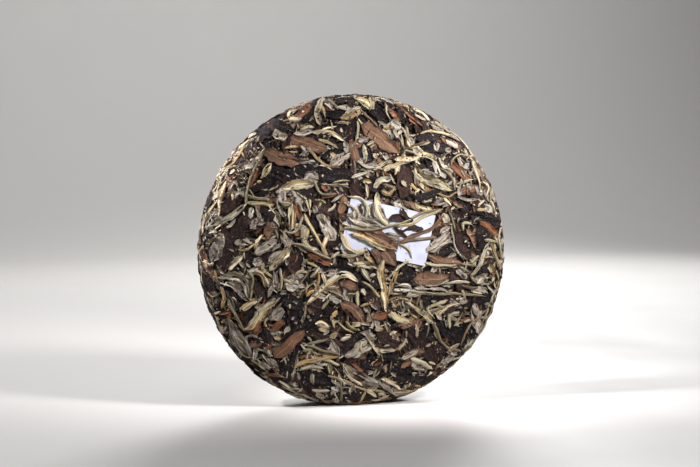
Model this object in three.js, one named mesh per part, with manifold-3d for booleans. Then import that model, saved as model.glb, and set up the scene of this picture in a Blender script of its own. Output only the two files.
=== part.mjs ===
// A round cake of pressed white tea with a paper ticket caught in its face.
// Millimetres, +Z up. The cake stands on its rim, the disc in the XZ plane, its face towards -Y.
import * as THREE from 'three';
import { mergeVertices } from 'three/addons/utils/BufferGeometryUtils.js';
import Module from 'manifold-3d';

const wasm = await Module();
wasm.setup();

// The cake
const RADIUS = 99;
const RIM_THICKNESS = 25;
const SHOULDER = 9.5;
const FACE_CROWN = 2;
const DIMPLE_RADIUS = 26;
const DIMPLE_DEPTH = 5;
const SPOT_DEPTH = 1.6;
const SKIN_DETAIL = 12;
const SHOULDER_DETAIL = 2;
const BUMP_HEIGHT = 1.1;
const BUMP_SPACING = 8;

// The ticket: its size, where its middle lies on the face, how far it is turned and how deep it sits
const TICKET = { width: 56.5, height: 33, x: 18, z: 12.8, turn: -12, bottom: -0.1, top: 0.4, gap: 0.3 };
const TICKET_FLAT_MARGIN = 5;
const TICKET_CLEAR_MARGIN = 9;

// The kinds of leaf: [shortest, longest], [narrowest, widest], height of its spine above the skin,
// flatness of its ends (1 is blunt, 0 a point) and height of its edges. A flat leaf shows a thin edge
// all round, and the others are ridges whose edges are pressed in
const KINDS = {
  leaf: { length: [22, 38], width: [9, 15], top: 1.3, blunt: 0.75, edge: 0.6, flat: true },
  bud: { length: [22, 40], width: [5, 8], top: 2.2, blunt: 0.35, edge: -0.4, flat: false },
  strip: { length: [14, 26], width: [4, 6.5], top: 1.8, blunt: 0.5, edge: -0.4, flat: false },
  stem: { length: [28, 52], width: [3, 4], top: 2, blunt: 0.9, edge: -0.4, flat: false },
};

// The largest leaves of the face by hand: kind, x, z from the middle, length, width, turn in degrees, bow
const FACE_LEAVES = [
  ['leaf', -25, 50, 43, 10, -8, -2],
  ['leaf', 13, 72, 31, 12, -36, 2],
  ['leaf', -49, 60, 24, 11, -21, -2],
  ['leaf', 30, 45, 24, 14, -93, 0],
  ['leaf', -78, 10, 40, 13, 64, -2],
  ['leaf', -9, -13, 36, 11, -20, 2],
  ['leaf', 49, -18, 25, 11, 0, 2],
  ['leaf', 63, -48, 32, 17, -53, 0],
  ['leaf', -45, -55, 27, 10, 39, -2],
  ['leaf', -29, -79, 20, 12, -5, 0],
  ['leaf', 0, -59, 22, 12, 37, 0],
  ['leaf', 20, -58, 20, 11, -16, 0],
  ['leaf', 83, 17, 22, 9, -20, 0],
  ['leaf', -39, 42, 28, 9, 19, 2],
  ['bud', -82, 25, 31, 6, 38, -3],
  ['bud', 48, 48, 33, 7.5, -34, -4],
  ['bud', -28, 11, 34, 5, -60, 2],
  ['bud', -22, -22, 34, 6, 37, 2],
  ['bud', 16, -21, 37, 5, -87, -3],
  ['bud', 81, -7, 27, 5, 62, 1],
  ['bud', -65, -37, 28, 6.5, 45, -3],
  ['bud', 39, -38, 28, 6, -39, -3],
  ['bud', -77, -50, 24, 6, -58, 2],
  ['bud', -7, -77, 24, 6, -53, 0],
  ['bud', 26, -86, 30, 7, -20, -2],
  ['bud', -28, -70, 32, 5.5, 20, 4],
  ['bud', -23, 60, 28, 4.5, -33, -4],
  ['bud', 31, 57, 26, 5, 16, 3],
  ['stem', -66, 46, 42, 3, -108, 4],
  ['stem', 53, -28, 56, 3, -1, 1],
  ['stem', 60, -61, 22, 3, -37, -4],
];

// What crosses the ticket, above it: the same fields
const CROSSING_LEAVES = [
  ['stem', 24, 23, 72, 3.2, 9, 6],
  ['stem', 35, -1, 54, 3.2, 35, 4],
  ['stem', 2, 5, 40, 3, -24, 3],
  ['strip', 41, 27, 34, 5, 20, -5],
  ['leaf', 0, 25, 24, 9, 82, 0],
];

// How many more leaves are strewn over each side
const STREWN = { front: 13, back: 32, rim: 22 };
const SEED = 20417;

const UP = new THREE.Vector3(0, 0, 1);
const radians = THREE.MathUtils.degToRad;

// Seeded draws, the same each time
let drawState = SEED;
function draw(low = 0, high = 1) {
  drawState = (Math.imul(drawState, 1664525) + 1013904223) >>> 0;
  return low + (high - low) * (drawState / 4294967296);
}

// Smooth noise between -1 and 1, from values held at the corners of a cubic lattice
function latticeValue(i, j, k) {
  let bits = Math.imul(i, 374761393) ^ Math.imul(j, 668265263) ^ Math.imul(k, 1274126177) ^ SEED;
  bits = Math.imul(bits ^ (bits >>> 13), 1103515245);
  return ((bits ^ (bits >>> 16)) >>> 0) / 2147483648 - 1;
}

function smoothNoise(point, spacing) {
  const cell = point.clone().divideScalar(spacing);
  const corner = cell.clone().floor();
  const ease = cell.sub(corner).toArray().map((t) => t * t * (3 - 2 * t));
  let sum = 0;
  for (let n = 0; n < 8; n += 1) {
    const step = [n & 1, (n >> 1) & 1, (n >> 2) & 1];
    const weight = step.reduce((product, s, axis) => product * (s ? ease[axis] : 1 - ease[axis]), 1);
    sum += weight * latticeValue(corner.x + step[0], corner.y + step[1], corner.z + step[2]);
  }
  return sum;
}

// Half of the cake's section as (distance from the axis, y), from the middle of the face round the rim
// to the middle of the back, where the knot of the pressing cloth leaves its dimple
function sectionPath() {
  const half = RIM_THICKNESS / 2;
  const flat = RADIUS - SHOULDER;
  const path = new THREE.Path();
  path.moveTo(0, -half - FACE_CROWN);
  path.quadraticCurveTo(flat * 0.6, -half - FACE_CROWN, flat, -half);
  path.absarc(flat, -half + SHOULDER, SHOULDER, -Math.PI / 2, 0, false);
  path.absarc(flat, half - SHOULDER, SHOULDER, 0, Math.PI / 2, false);
  path.quadraticCurveTo(flat * 0.8, half + FACE_CROWN, DIMPLE_RADIUS * 1.4, half + FACE_CROWN);
  path.bezierCurveTo(
    DIMPLE_RADIUS * 0.8, half + FACE_CROWN,
    DIMPLE_RADIUS * 0.6, half + FACE_CROWN - DIMPLE_DEPTH,
    0, half + FACE_CROWN - DIMPLE_DEPTH,
  );
  return path;
}

// The section at even steps of its own length, with its length and the share of the net of triangles
// that the surface takes up to each step. The shoulders and the rim get a closer net than the faces
const SECTION_STEPS = 600;
const section = (() => {
  const path = sectionPath();
  const points = path.getSpacedPoints(SECTION_STEPS);
  const length = path.getLength();
  const step = length / SECTION_STEPS;
  const netShares = [0];
  for (let i = 1; i <= SECTION_STEPS; i += 1) {
    const closeness = points[i].x > RADIUS - SHOULDER ? SHOULDER_DETAIL : 1;
    netShares.push(netShares[i - 1] + closeness * (points[i].x + points[i - 1].x) * step);
  }
  return { points, length, step, netShares: netShares.map((share) => share / netShares[SECTION_STEPS]) };
})();

/** The point and outward normal of the smooth cake at a distance along the section, at an angle. */
function onCake(distance, angle) {
  const place = THREE.MathUtils.clamp(distance / section.step, 0, SECTION_STEPS - 1e-6);
  const i = Math.floor(place);
  const [a, b] = [section.points[i], section.points[i + 1]];
  const radial = THREE.MathUtils.lerp(a.x, b.x, place - i);
  const y = THREE.MathUtils.lerp(a.y, b.y, place - i);
  const slope = new THREE.Vector2().subVectors(b, a).normalize();
  const [c, s] = [Math.cos(angle), Math.sin(angle)];
  return {
    point: new THREE.Vector3(radial * c, y, radial * s),
    normal: new THREE.Vector3(slope.y * c, -slope.x, slope.y * s),
  };
}

/** Where (x, z) of a flat sheet lands when it is wrapped over the face from the middle outwards. */
function onFace(x, z, height = 0) {
  const { point, normal } = onCake(Math.hypot(x, z), Math.atan2(z, x));
  return point.addScaledVector(normal, height);
}

/** The same over the back. Seen from behind, x runs to the right. */
function onBack(x, z, height = 0) {
  const { point, normal } = onCake(section.length - Math.hypot(x, z), Math.atan2(z, -x));
  return point.addScaledVector(normal, height);
}

/** How far (x, z) of the face lies outside the ticket's outline. */
function ticketDistance(x, z) {
  const turn = radians(TICKET.turn);
  const [dx, dz] = [x - TICKET.x, z - TICKET.z];
  const along = Math.abs(dx * Math.cos(turn) + dz * Math.sin(turn)) - TICKET.width / 2;
  const across = Math.abs(dz * Math.cos(turn) - dx * Math.sin(turn)) - TICKET.height / 2;
  return Math.max(along, across);
}

function toSolid(geometry) {
  const bare = new THREE.BufferGeometry();
  bare.setAttribute('position', geometry.getAttribute('position'));
  if (geometry.index) bare.setIndex(geometry.index);
  const merged = mergeVertices(bare, 1e-4);
  const mesh = new wasm.Mesh({
    numProp: 3,
    vertProperties: new Float32Array(merged.getAttribute('position').array),
    triVerts: new Uint32Array(merged.index.array),
  });
  return new wasm.Manifold(mesh);
}

function toGeometry(solid) {
  const { vertProperties, triVerts } = solid.getMesh();
  const geometry = new THREE.BufferGeometry();
  geometry.setAttribute('position', new THREE.BufferAttribute(new Float32Array(vertProperties), 3));
  geometry.setIndex(new THREE.BufferAttribute(new Uint32Array(triVerts), 1));
  geometry.computeVertexNormals();
  return geometry;
}

/** The pressed body: an even net of triangles wrapped round the section, with bumps the size of leaf ends. */
function bodySolid() {
  const net = new THREE.IcosahedronGeometry(1, SKIN_DETAIL);
  const position = net.getAttribute('position');
  const direction = new THREE.Vector3();
  const { netShares } = section;
  for (let n = 0; n < position.count; n += 1) {
    direction.fromBufferAttribute(position, n).normalize();
    const wanted = (1 + direction.y) / 2;
    const step = Math.max(1, netShares.findIndex((share) => share >= wanted - 1e-9));
    const part = (wanted - netShares[step - 1]) / (netShares[step] - netShares[step - 1]);
    const distance = (step - 1 + THREE.MathUtils.clamp(part, 0, 1)) * section.step;
    const { point, normal } = onCake(distance, Math.atan2(direction.z, direction.x));
    const outside = point.y < 0 ? ticketDistance(point.x, point.z) : TICKET_FLAT_MARGIN;
    const nearTicket = THREE.MathUtils.smoothstep(outside, 0, TICKET_FLAT_MARGIN);
    point.addScaledVector(normal, BUMP_HEIGHT * smoothNoise(point, BUMP_SPACING) * nearTicket);
    position.setXYZ(n, point.x, point.y, point.z);
  }
  return toSolid(net);
}

/** A closed shell through rings of points, each ring the same length, pointed at both ends. */
function shell(start, rings, end) {
  const sides = rings[0].length;
  const points = [start, ...rings.flat(), end];
  const faces = [];
  for (let i = 0; i < sides; i += 1) {
    const j = (i + 1) % sides;
    faces.push([0, 1 + j, 1 + i]);
    for (let ring = 0; ring + 1 < rings.length; ring += 1) {
      const [low, high] = [1 + ring * sides, 1 + (ring + 1) * sides];
      faces.push([low + i, low + j, high + j], [low + i, high + j, high + i]);
    }
    const last = 1 + (rings.length - 1) * sides;
    faces.push([last + i, last + j, points.length - 1]);
  }
  const geometry = new THREE.BufferGeometry();
  geometry.setFromPoints(points);
  geometry.setIndex(faces.flat());
  return geometry;
}

const LEAF_RINGS = 3;
const LEAF_ROOT = -1.7;
const TIP_HEIGHT = -0.3;
const END_SHARE = 0.08;
const LEAF_WAVE = [0.1, 0.35];
const LARGEST_BOW = 3;

/** A leaf, bud, strip or stem with four sides, lying on the cake by `place` and buried below. */
function leafSolid([kind, x, z, length, width, turn, bow], place, raise = () => 0) {
  const { top, blunt, edge, flat } = KINDS[kind];
  const [c, s] = [Math.cos(radians(turn)), Math.sin(radians(turn))];
  const [wave, phase] = [draw(...LEAF_WAVE), draw(0, 2 * Math.PI)];
  const at = (t, across, height) => {
    const along = length * (t - 0.5);
    const side = across + bow * (1 - 4 * (t - 0.5) ** 2) * -1;
    const lift = raise(t) + (height > 0 ? wave * Math.sin(phase + 6 * t) : 0);
    return place(x + along * c - side * s, z + along * s + side * c, height + lift);
  };
  const rings = [];
  for (let n = 0; n < LEAF_RINGS; n += 1) {
    const t = THREE.MathUtils.lerp(END_SHARE, 1 - END_SHARE, n / (LEAF_RINGS - 1));
    const full = Math.sin(Math.PI * (0.1 + 0.8 * t));
    const half = (width / 2) * THREE.MathUtils.lerp(full, 1, blunt);
    const root = flat ? [at(t, 0, LEAF_ROOT)] : [];
    rings.push([at(t, -half, edge), ...root, at(t, half, edge), at(t, 0.1 * half, top)]);
  }
  return toSolid(shell(at(0, 0, TIP_HEIGHT), rings, at(1, 0, TIP_HEIGHT)));
}

/** A crossing leaf rises off the tea at one end, runs over the ticket and goes back in at the other. */
const CROSSING_DEPTH = 1.2;
const CROSSING_RISE_SHARE = 0.16;
const CROSSING_END = -0.4;
function crossingRaise(t) {
  const over = TICKET.top + 2 * TICKET.gap + CROSSING_DEPTH;
  return over * THREE.MathUtils.smoothstep(Math.min(t, 1 - t), 0, CROSSING_RISE_SHARE) + CROSSING_END;
}

/** Where to strew the next leaf: of a few draws, the one furthest from those already there. */
const PLACE_TRIES = 24;
function openPlace(taken, drawPlace, allowed) {
  let best = null;
  let bestRoom = -1;
  for (let tries = 0; tries < PLACE_TRIES; tries += 1) {
    const [x, z] = drawPlace();
    const room = Math.min(RADIUS, ...taken.map(([a, b]) => Math.hypot(x - a, z - b)));
    if (room > bestRoom && allowed(x, z)) {
      best = [x, z];
      bestRoom = room;
    }
  }
  return best;
}

function strewnLeaf(kind, x, z, turn) {
  const { length, width } = KINDS[kind];
  return [kind, x, z, draw(...length), draw(...width), turn, draw(-LARGEST_BOW, LARGEST_BOW)];
}

const KIND_ORDER = ['leaf', 'bud', 'strip', 'leaf', 'bud', 'strip', 'stem', 'leaf', 'strip', 'bud'];

/** Leaves strewn over one side, the largest kinds taking turns, none on the ticket. */
function strewnSide(count, place, taken, allowed) {
  const solids = [];
  const drawInDisc = () => {
    const radius = (RADIUS - SHOULDER) * Math.sqrt(draw());
    const angle = draw(0, 2 * Math.PI);
    return [radius * Math.cos(angle), radius * Math.sin(angle)];
  };
  for (let n = 0; n < count; n += 1) {
    const spot = openPlace(taken, drawInDisc, allowed);
    taken.push(spot);
    solids.push(leafSolid(strewnLeaf(KIND_ORDER[n % KIND_ORDER.length], ...spot, draw(0, 180)), place));
  }
  return solids;
}

/** Leaves folded over the rim by the mould, most of them lying along it. */
function rimLeaves() {
  const solids = [];
  for (let n = 0; n < STREWN.rim; n += 1) {
    const angle = (360 * (n + draw(0.2, 0.8))) / STREWN.rim;
    const out = section.length / 2 - draw(-1, 1) * (RIM_THICKNESS / 2);
    const kind = n % 2 ? 'strip' : 'bud';
    const turn = angle + 90 + draw(-45, 45);
    const [x, z] = [out * Math.cos(radians(angle)), out * Math.sin(radians(angle))];
    solids.push(leafSolid(strewnLeaf(kind, x, z, turn), onFace));
  }
  return solids;
}

/** A sheet that follows the face over the ticket's outline, `grow` larger on every side. */
function ticketSheet(grow) {
  const [columns, rows] = [10, 6];
  const turn = radians(TICKET.turn);
  const points = [];
  for (const height of [TICKET.bottom - grow, TICKET.top + grow]) {
    for (let row = 0; row <= rows; row += 1) {
      for (let column = 0; column <= columns; column += 1) {
        const along = (TICKET.width + 2 * grow) * (column / columns - 0.5);
        const across = (TICKET.height + 2 * grow) * (row / rows - 0.5);
        const x = TICKET.x + along * Math.cos(turn) - across * Math.sin(turn);
        const z = TICKET.z + along * Math.sin(turn) + across * Math.cos(turn);
        points.push(onFace(x, z, height));
      }
    }
  }
  const layer = (columns + 1) * (rows + 1);
  const faces = [];
  const quad = (a, b, c, d) => faces.push([a, b, c], [a, c, d]);
  for (let row = 0; row < rows; row += 1) {
    for (let column = 0; column < columns; column += 1) {
      const a = row * (columns + 1) + column;
      const d = a + columns + 1;
      quad(a, d, d + 1, a + 1);
      quad(layer + a, layer + a + 1, layer + d + 1, layer + d);
    }
  }
  const last = rows * (columns + 1);
  for (let column = 0; column < columns; column += 1) {
    quad(column, column + 1, layer + column + 1, layer + column);
    quad(last + column + 1, last + column, layer + last + column, layer + last + column + 1);
  }
  for (let row = 0; row < rows; row += 1) {
    const [left, next] = [row * (columns + 1), (row + 1) * (columns + 1)];
    quad(next, left, layer + left, layer + next);
    quad(left + columns, next + columns, layer + next + columns, layer + left + columns);
  }
  const geometry = new THREE.BufferGeometry();
  geometry.setFromPoints(points);
  geometry.setIndex(faces.flat());
  return geometry;
}

/** The small flat that the cake stands on: everything lower is taken away. */
function belowSpot() {
  const side = 4 * RADIUS;
  const block = new THREE.BoxGeometry(side, side, side);
  block.translate(0, 0, -RADIUS + SPOT_DEPTH - side / 2);
  return toSolid(block);
}

function largestPiece(solid) {
  return solid.decompose().reduce((best, piece) => (piece.volume() > best.volume() ? piece : best));
}

function cakeSolid() {
  const clearOfTicket = (x, z) => ticketDistance(x, z) > TICKET_CLEAR_MARGIN;
  const faceTaken = FACE_LEAVES.map(([, x, z]) => [x, z]);
  const pieces = [
    ...FACE_LEAVES.map((leaf) => leafSolid(leaf, onFace)),
    ...CROSSING_LEAVES.map((leaf) => leafSolid(leaf, onFace, crossingRaise)),
    ...strewnSide(STREWN.front, onFace, faceTaken, clearOfTicket),
    ...strewnSide(STREWN.back, onBack, [], () => true),
    ...rimLeaves(),
  ];
  const whole = pieces.reduce((cake, piece) => cake.add(piece), bodySolid());
  const pocket = toSolid(ticketSheet(TICKET.gap));
  return largestPiece(whole.subtract(pocket).subtract(belowSpot()));
}

const teaMaterial = new THREE.MeshStandardMaterial({ color: '#6a5a4a', roughness: 0.85, metalness: 0 });
const paperMaterial = new THREE.MeshStandardMaterial({ color: '#e1e4ee', roughness: 0.8, metalness: 0 });

const teaCake = new THREE.Mesh(toGeometry(cakeSolid()), teaMaterial);
teaCake.name = 'tea_cake';
const paperTicket = new THREE.Mesh(toGeometry(toSolid(ticketSheet(0))), paperMaterial);
paperTicket.name = 'paper_ticket';

const group = new THREE.Group();
group.add(teaCake, paperTicket);

// The origin is at the middle of the box round the part, on the surface it stands on
const box = new THREE.Box3().setFromObject(group);
group.position.copy(box.getCenter(new THREE.Vector3()).negate());
group.position.addScaledVector(UP, (box.max.z - box.min.z) / 2);

export default group;
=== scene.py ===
"""A round cake of pressed white tea, standing on its rim, with a blank paper ticket caught in its face.

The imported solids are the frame. The tea is laid over a dark core leaf by leaf: each piece settles on the
heights of what already lies there, so that it overlaps its neighbours as pressed leaves do.
"""
import math

import bpy
import numpy as np
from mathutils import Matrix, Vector


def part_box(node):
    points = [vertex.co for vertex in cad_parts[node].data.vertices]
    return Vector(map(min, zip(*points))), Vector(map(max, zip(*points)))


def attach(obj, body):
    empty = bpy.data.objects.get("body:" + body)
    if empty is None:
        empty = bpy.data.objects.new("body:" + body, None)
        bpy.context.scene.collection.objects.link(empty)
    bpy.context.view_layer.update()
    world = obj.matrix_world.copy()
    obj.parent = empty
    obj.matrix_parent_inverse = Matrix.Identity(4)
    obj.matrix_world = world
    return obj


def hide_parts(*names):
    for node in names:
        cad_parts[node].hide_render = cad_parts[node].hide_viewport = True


bl_info = {
    "name": "Pressed Tea Cake",
    "version": (1, 0, 0),
    "blender": (4, 5, 0),
    "location": "View3D > Sidebar > Tea Cake",
    "description": "Lays a pressed cake of white tea leaf by leaf",
    "category": "Add Mesh",
}

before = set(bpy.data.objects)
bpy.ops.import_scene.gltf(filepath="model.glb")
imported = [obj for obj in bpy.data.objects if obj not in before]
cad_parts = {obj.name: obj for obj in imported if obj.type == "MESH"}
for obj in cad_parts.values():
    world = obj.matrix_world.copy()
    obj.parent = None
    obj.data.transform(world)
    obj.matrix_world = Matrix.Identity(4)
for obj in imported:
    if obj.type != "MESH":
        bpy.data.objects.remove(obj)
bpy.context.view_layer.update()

MM = 0.001
SEED = 52

# ---------------------------------------------------------------- the pieces listed one by one
# Each is its width and the points of its middle line on the face, in millimetres from the middle of the
# cake, x to the right and z up. Wide leaves go down first, then the ticket, then what lies over both.

WIDE_LEAVES = {
    "dark": (
        (8, -64, 74, -55, 74), (8, -56, 82, -42, 74), (8.5, -69, 40, -54, 47), (8.5, -62, 31, -56, 20),
        (5, -37, 81, -29, 91), (6, -22, 86, -10, 87), (5, -18, 94, -2, 96), (13, -46, 52, -27, 48.5, -4, 47),
        (8, 8, 93, 16, 83), (10.5, 26, 82, 33, 91), (6, 37, 72, 53, 73), (8, 41, 65, 60, 67),
        (6, 35, 34, 52, 38), (5, -16, 34, -16, 11), (10, -50, -6, -37, -1), (10, -25, -8, -10, -12, 7, -22),
        (8.5, -82, -23, -71, -23), (7, -98, -12, -92, -24), (8.5, 73, 23, 84, 20, 96, 16),
        (6.5, 76, 12, 81, 0), (6.5, 50, -2, 66, 7), (8, 23, -18, 39, -13), (6, -13, -64, 0, -51),
        (6.5, -31, -58, -20, -61), (14.5, 48, -41, 61, -51, 71, -62), (6.5, 24, -81, 53, -83),
        (8, -62, -46, -55, -58), (8, -73, -42, -65, -35), (12.5, -37, -79, -20, -81), (6, -10, -91, 10, -92),
        (10, 78, -7, 88, -19), (6, -65, 75, -56, 75), (4.5, 5, 67, 7, 57), (4, 31, 85, 34, 77),
        (11, -86, 24, -80, 33), (4, -96, 29, -92, 38), (6.5, -87, -18, -81, -24, -76, -30),
        (11.5, -49, -28, -37, -33), (8.5, -45, -37, -39, -40), (3, 70, 42, 67, 35), (4, 40, -23, 57, -24),
        (8.5, 78, -32, 88, -30), (5, -2, -18, 0, -24), (4.5, -37, -75, -35, -84),
    ),
    "plum": (
        (8, -87, 25, -78, 34), (13, -86, -11, -80, 8, -69, 27), (6, -38, 38, -22, 41), (8.5, -6, 43, 2, 33),
        (13, 29, 56, 27, 34), (9, -29, 33, -18, 24), (6.5, -66, -16, -62, -29), (8, 59, 26, 68, 21),
        (6, 47, 11, 56, 16), (8.5, 63, 12, 72, -5), (10, 60, -13, 68, -26), (8, 3, -24, 12, -36),
        (8.5, 11, -50, 25, -60), (10, 31, -50, 43, -63, 50, -75), (6.5, -5, -84, 5, -76),
        (8, -90, 9, -84, 16), (3, -43, 59, -31, 59), (4, -3, 84, 1, 89), (8.5, -45, -1, -40, -12),
        (4, -48, 25, -49, 14), (5, 1, -30, 7, -26),
    ),
    "brown": (
        (9, -60, 64, -50, 59, -38, 56), (8.5, -44, 71, -33, 68, -21, 65), (11, 1, 80, 13, 72, 25, 63),
        (8, -5, 70, -3, 57), (4.5, 53, 73, 67, 65), (6, 64, 37, 79, 42), (5, -62, 9, -56, 15),
        (4, 70, 14, 77, 2), (7, 43, -3, 56, -7, 67, -8), (10.5, 35, -17, 47, -18, 60, -16),
        (6, -13, -18, -2, -23), (7, -13, -31, -5, -35, 3, -44), (6.5, 27, -68, 42, -64),
        (8.5, -54, -65, -45, -56, -36, -48), (5, -67, -52, -64, -42), (5, -71, -57, -62, -54),
        (4, -38, 88, -30, 93), (5, 62, 56, 63, 47), (5, -33, -33, -30, -37), (4, 61, 32, 68, 28),
        (6.5, -10, -19, -3, -21), (5, -54, -46, -50, -41), (4.5, 27, -74, 34, -69), (4, 54, -73, 56, -78),
    ),
    "rust": (
        (5, -40, 83, -30, 94), (4.5, 19, 91, 26, 83), (6, 60, 57, 73, 46), (5, -41, 31, -37, 20),
        (5, -34, -1, -18, -7), (5, 79, 19, 92, 9), (6, 7, -41, 20, -39), (6, -56, -47, -49, -41),
        (3, -22, 92, -19, 88), (4.5, 19, 90, 24, 85), (4.5, 32, 86, 36, 81), (4, -42, 12, -37, 14),
        (4.5, -67, -49, -63, -43),
    ),
    "silver": (
        (7, -55, 73, -46, 73), (6, -76, 53, -62, 57), (7, -19, 55, -7, 62), (8, -53, 38, -41, 42, -27, 46),
        (6.5, -35, 49, -27, 45), (7, 45, 82, 56, 78, 66, 70), (9, -26, 21, -17, 8), (8.5, -66, 0, -53, 9),
        (6, -50, 12, -45, 5), (6.5, -69, 16, -61, 22), (6, -23, -13, -14, -12), (8, -48, -16, -39, -19),
        (6.5, 45, 0, 60, 10), (5, 18, -39, 31, -45), (10, -7, -66, 1, -60, 9, -53), (4, -19, -56, -14, -65),
        (6.5, 54, -72, 64, -65), (6.5, -57, -41, -49, -34), (6, -83, -41, -76, -51, -70, -60),
        (6, 12, -83, 24, -89, 36, -91), (4.5, -19, -89, -14, -83), (8, 74, -37, 83, -55),
        (6.5, 76, -17, 85, -20), (6, -86, 14, -88, 3), (4, -22, 94, -18, 89), (4, -42, 74, -30, 76),
        (4, -71, 73, -64, 75), (6.5, 20, 83, 26, 78), (6, 34, 66, 40, 61), (4.5, -2, 70, 5, 72),
        (4.5, -10, 70, -9, 62), (4, 56, 71, 64, 66), (4.5, 50, 70, 50, 64), (4.5, 64, 60, 72, 53),
        (4, 52, 58, 58, 53), (4, 41, 51, 52, 48), (3, -75, 41, -72, 35), (4, -68, 29, -69, 25, -69, 22),
        (3, -64, 28, -63, 20), (4, -67, 20, -60, 19), (4, -79, 7, -75, 9), (3, -92, 33, -89, 38, -86, 42),
        (4.5, -91, 14, -87, 10), (8, -92, 7, -90, 2, -92, -4), (6, -83, -17, -77, -21, -72, -26),
        (4.5, -93, -23, -89, -24), (7, -68, -5, -62, -4), (8, -57, -5, -50, 2), (10, -48, -18, -39, -20),
        (9, -56, -40, -50, -33), (4, -40, -14, -36, -14), (6, -20, -27, -13, -31), (5, -12, 4, -8, -3),
        (5, -36, 46, -32, 49, -27, 46), (7, -50, 40, -50, 31), (6, -44, 39, -40, 34), (7, -40, 36, -35, 26),
        (4, -30, 30, -29, 25), (6.5, 51, 34, 57, 29), (4, 67, 43, 65, 35), (4, 71, 44, 73, 39),
        (5, 76, 42, 81, 36), (4, 88, 40, 90, 31), (5, 82, 30, 88, 25), (6, 54, 24, 58, 18),
        (4, 52, 12, 59, 16), (4, 60, -32, 66, -35), (4.5, 66, -34, 71, -32), (4.5, 49, -39, 54, -44),
        (4.5, 75, -34, 79, -42), (4, 81, -39, 78, -44), (5, 63, -12, 71, -18), (6, 73, -25, 85, -26),
        (6.5, 20, -23, 33, -24), (6.5, 30, -28, 42, -25), (3, 20, -30, 24, -35), (3, 2, -34, 6, -38),
        (4, 11, -43, 11, -48), (4.5, 1, -51, 8, -51), (4.5, -77, -49, -71, -58), (4, -48, -50, -45, -45),
        (5, -19, -56, -15, -62), (5, -10, -65, -3, -63), (5, -19, -85, -14, -87), (4.5, 27, -68, 38, -63),
        (5, 56, -71, 62, -67), (4, 55, 65, 60, 64), (3, 7, 22, 15, 18),
    ),
    "olive": (
        (4.5, -50, 31, -44, 31), (6, 86, -9, 89, -15), (4, -25, -63, -16, -64),
    ),
    "cream": (
        (6, -12, 83, -5, 87, 1, 89), (4.5, -45, 83, -37, 83), (3, -45, 83, -44, 88, -40, 90),
        (4.5, -19, 63, -16, 59), (4, -77, 66, -70, 70), (5, -97, -3, -95, -8),
        (8.5, -49, 41, -40, 43, -28, 44), (6, -34, 16, -37, 7), (6, 20, -39, 26, -43, 32, -45),
        (6, 22, 49, 25, 56, 31, 58), (7, 48, 44, 57, 41), (5, 39, 44, 43, 39),
    ),
}

ON_TICKET = {
    "silver": (
        (8, -9, 24, -3, 23, 3, 16), (8.5, -6, 20, 3, 17), (9, 3, 21, 11, 20, 18, 17), (6, 7, 31, 7, 22),
        (5, 16, 12, 28, 9), (4.5, -12, 19, -7, 17), (6, 21, 32, 33, 28), (5.5, 43, 0, 51, 6, 59, 12),
        (9, -8, 23, 2, 19, 12, 16), (7, 0, 30, -4, 22), (8, 8, 30, 14, 21),
    ),
    "brown": (
        (6, -10, 36, -13, 24), (9, 8, 14, 15, 8, 24, 2), (10, 9, 4, 17, -1, 23, -8), (7, 7, 2, 13, -7),
        (4, 28, 33, 36, 28, 44, 25), (9, 2, 13, 11, 9, 19, 5),
    ),
    "rust": (
        (4.5, -2, 14, 7, 7),
    ),
    "olive": (
        (6, -1, 11, 8, 6, 16, 1), (4.5, -6, 12, 2, 8),
    ),
    "plum": (
        (7, 18, 20, 25, 22, 34, 19), (4, 26, 28, 31, 20), (4.5, 25, 13, 33, 16, 41, 14), (3, 21, 16, 31, 9),
        (2.5, 0, 31, 1, 24),
    ),
    "cream": (
        (7, 10, 38, 10, 31, 12, 24, 19, 17), (4, -13, 13, -10, 8, -8, 2, -2, 0, 5, 2),
        (3, 1, 32, 5, 28, 4, 23),
    ),
}

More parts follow.
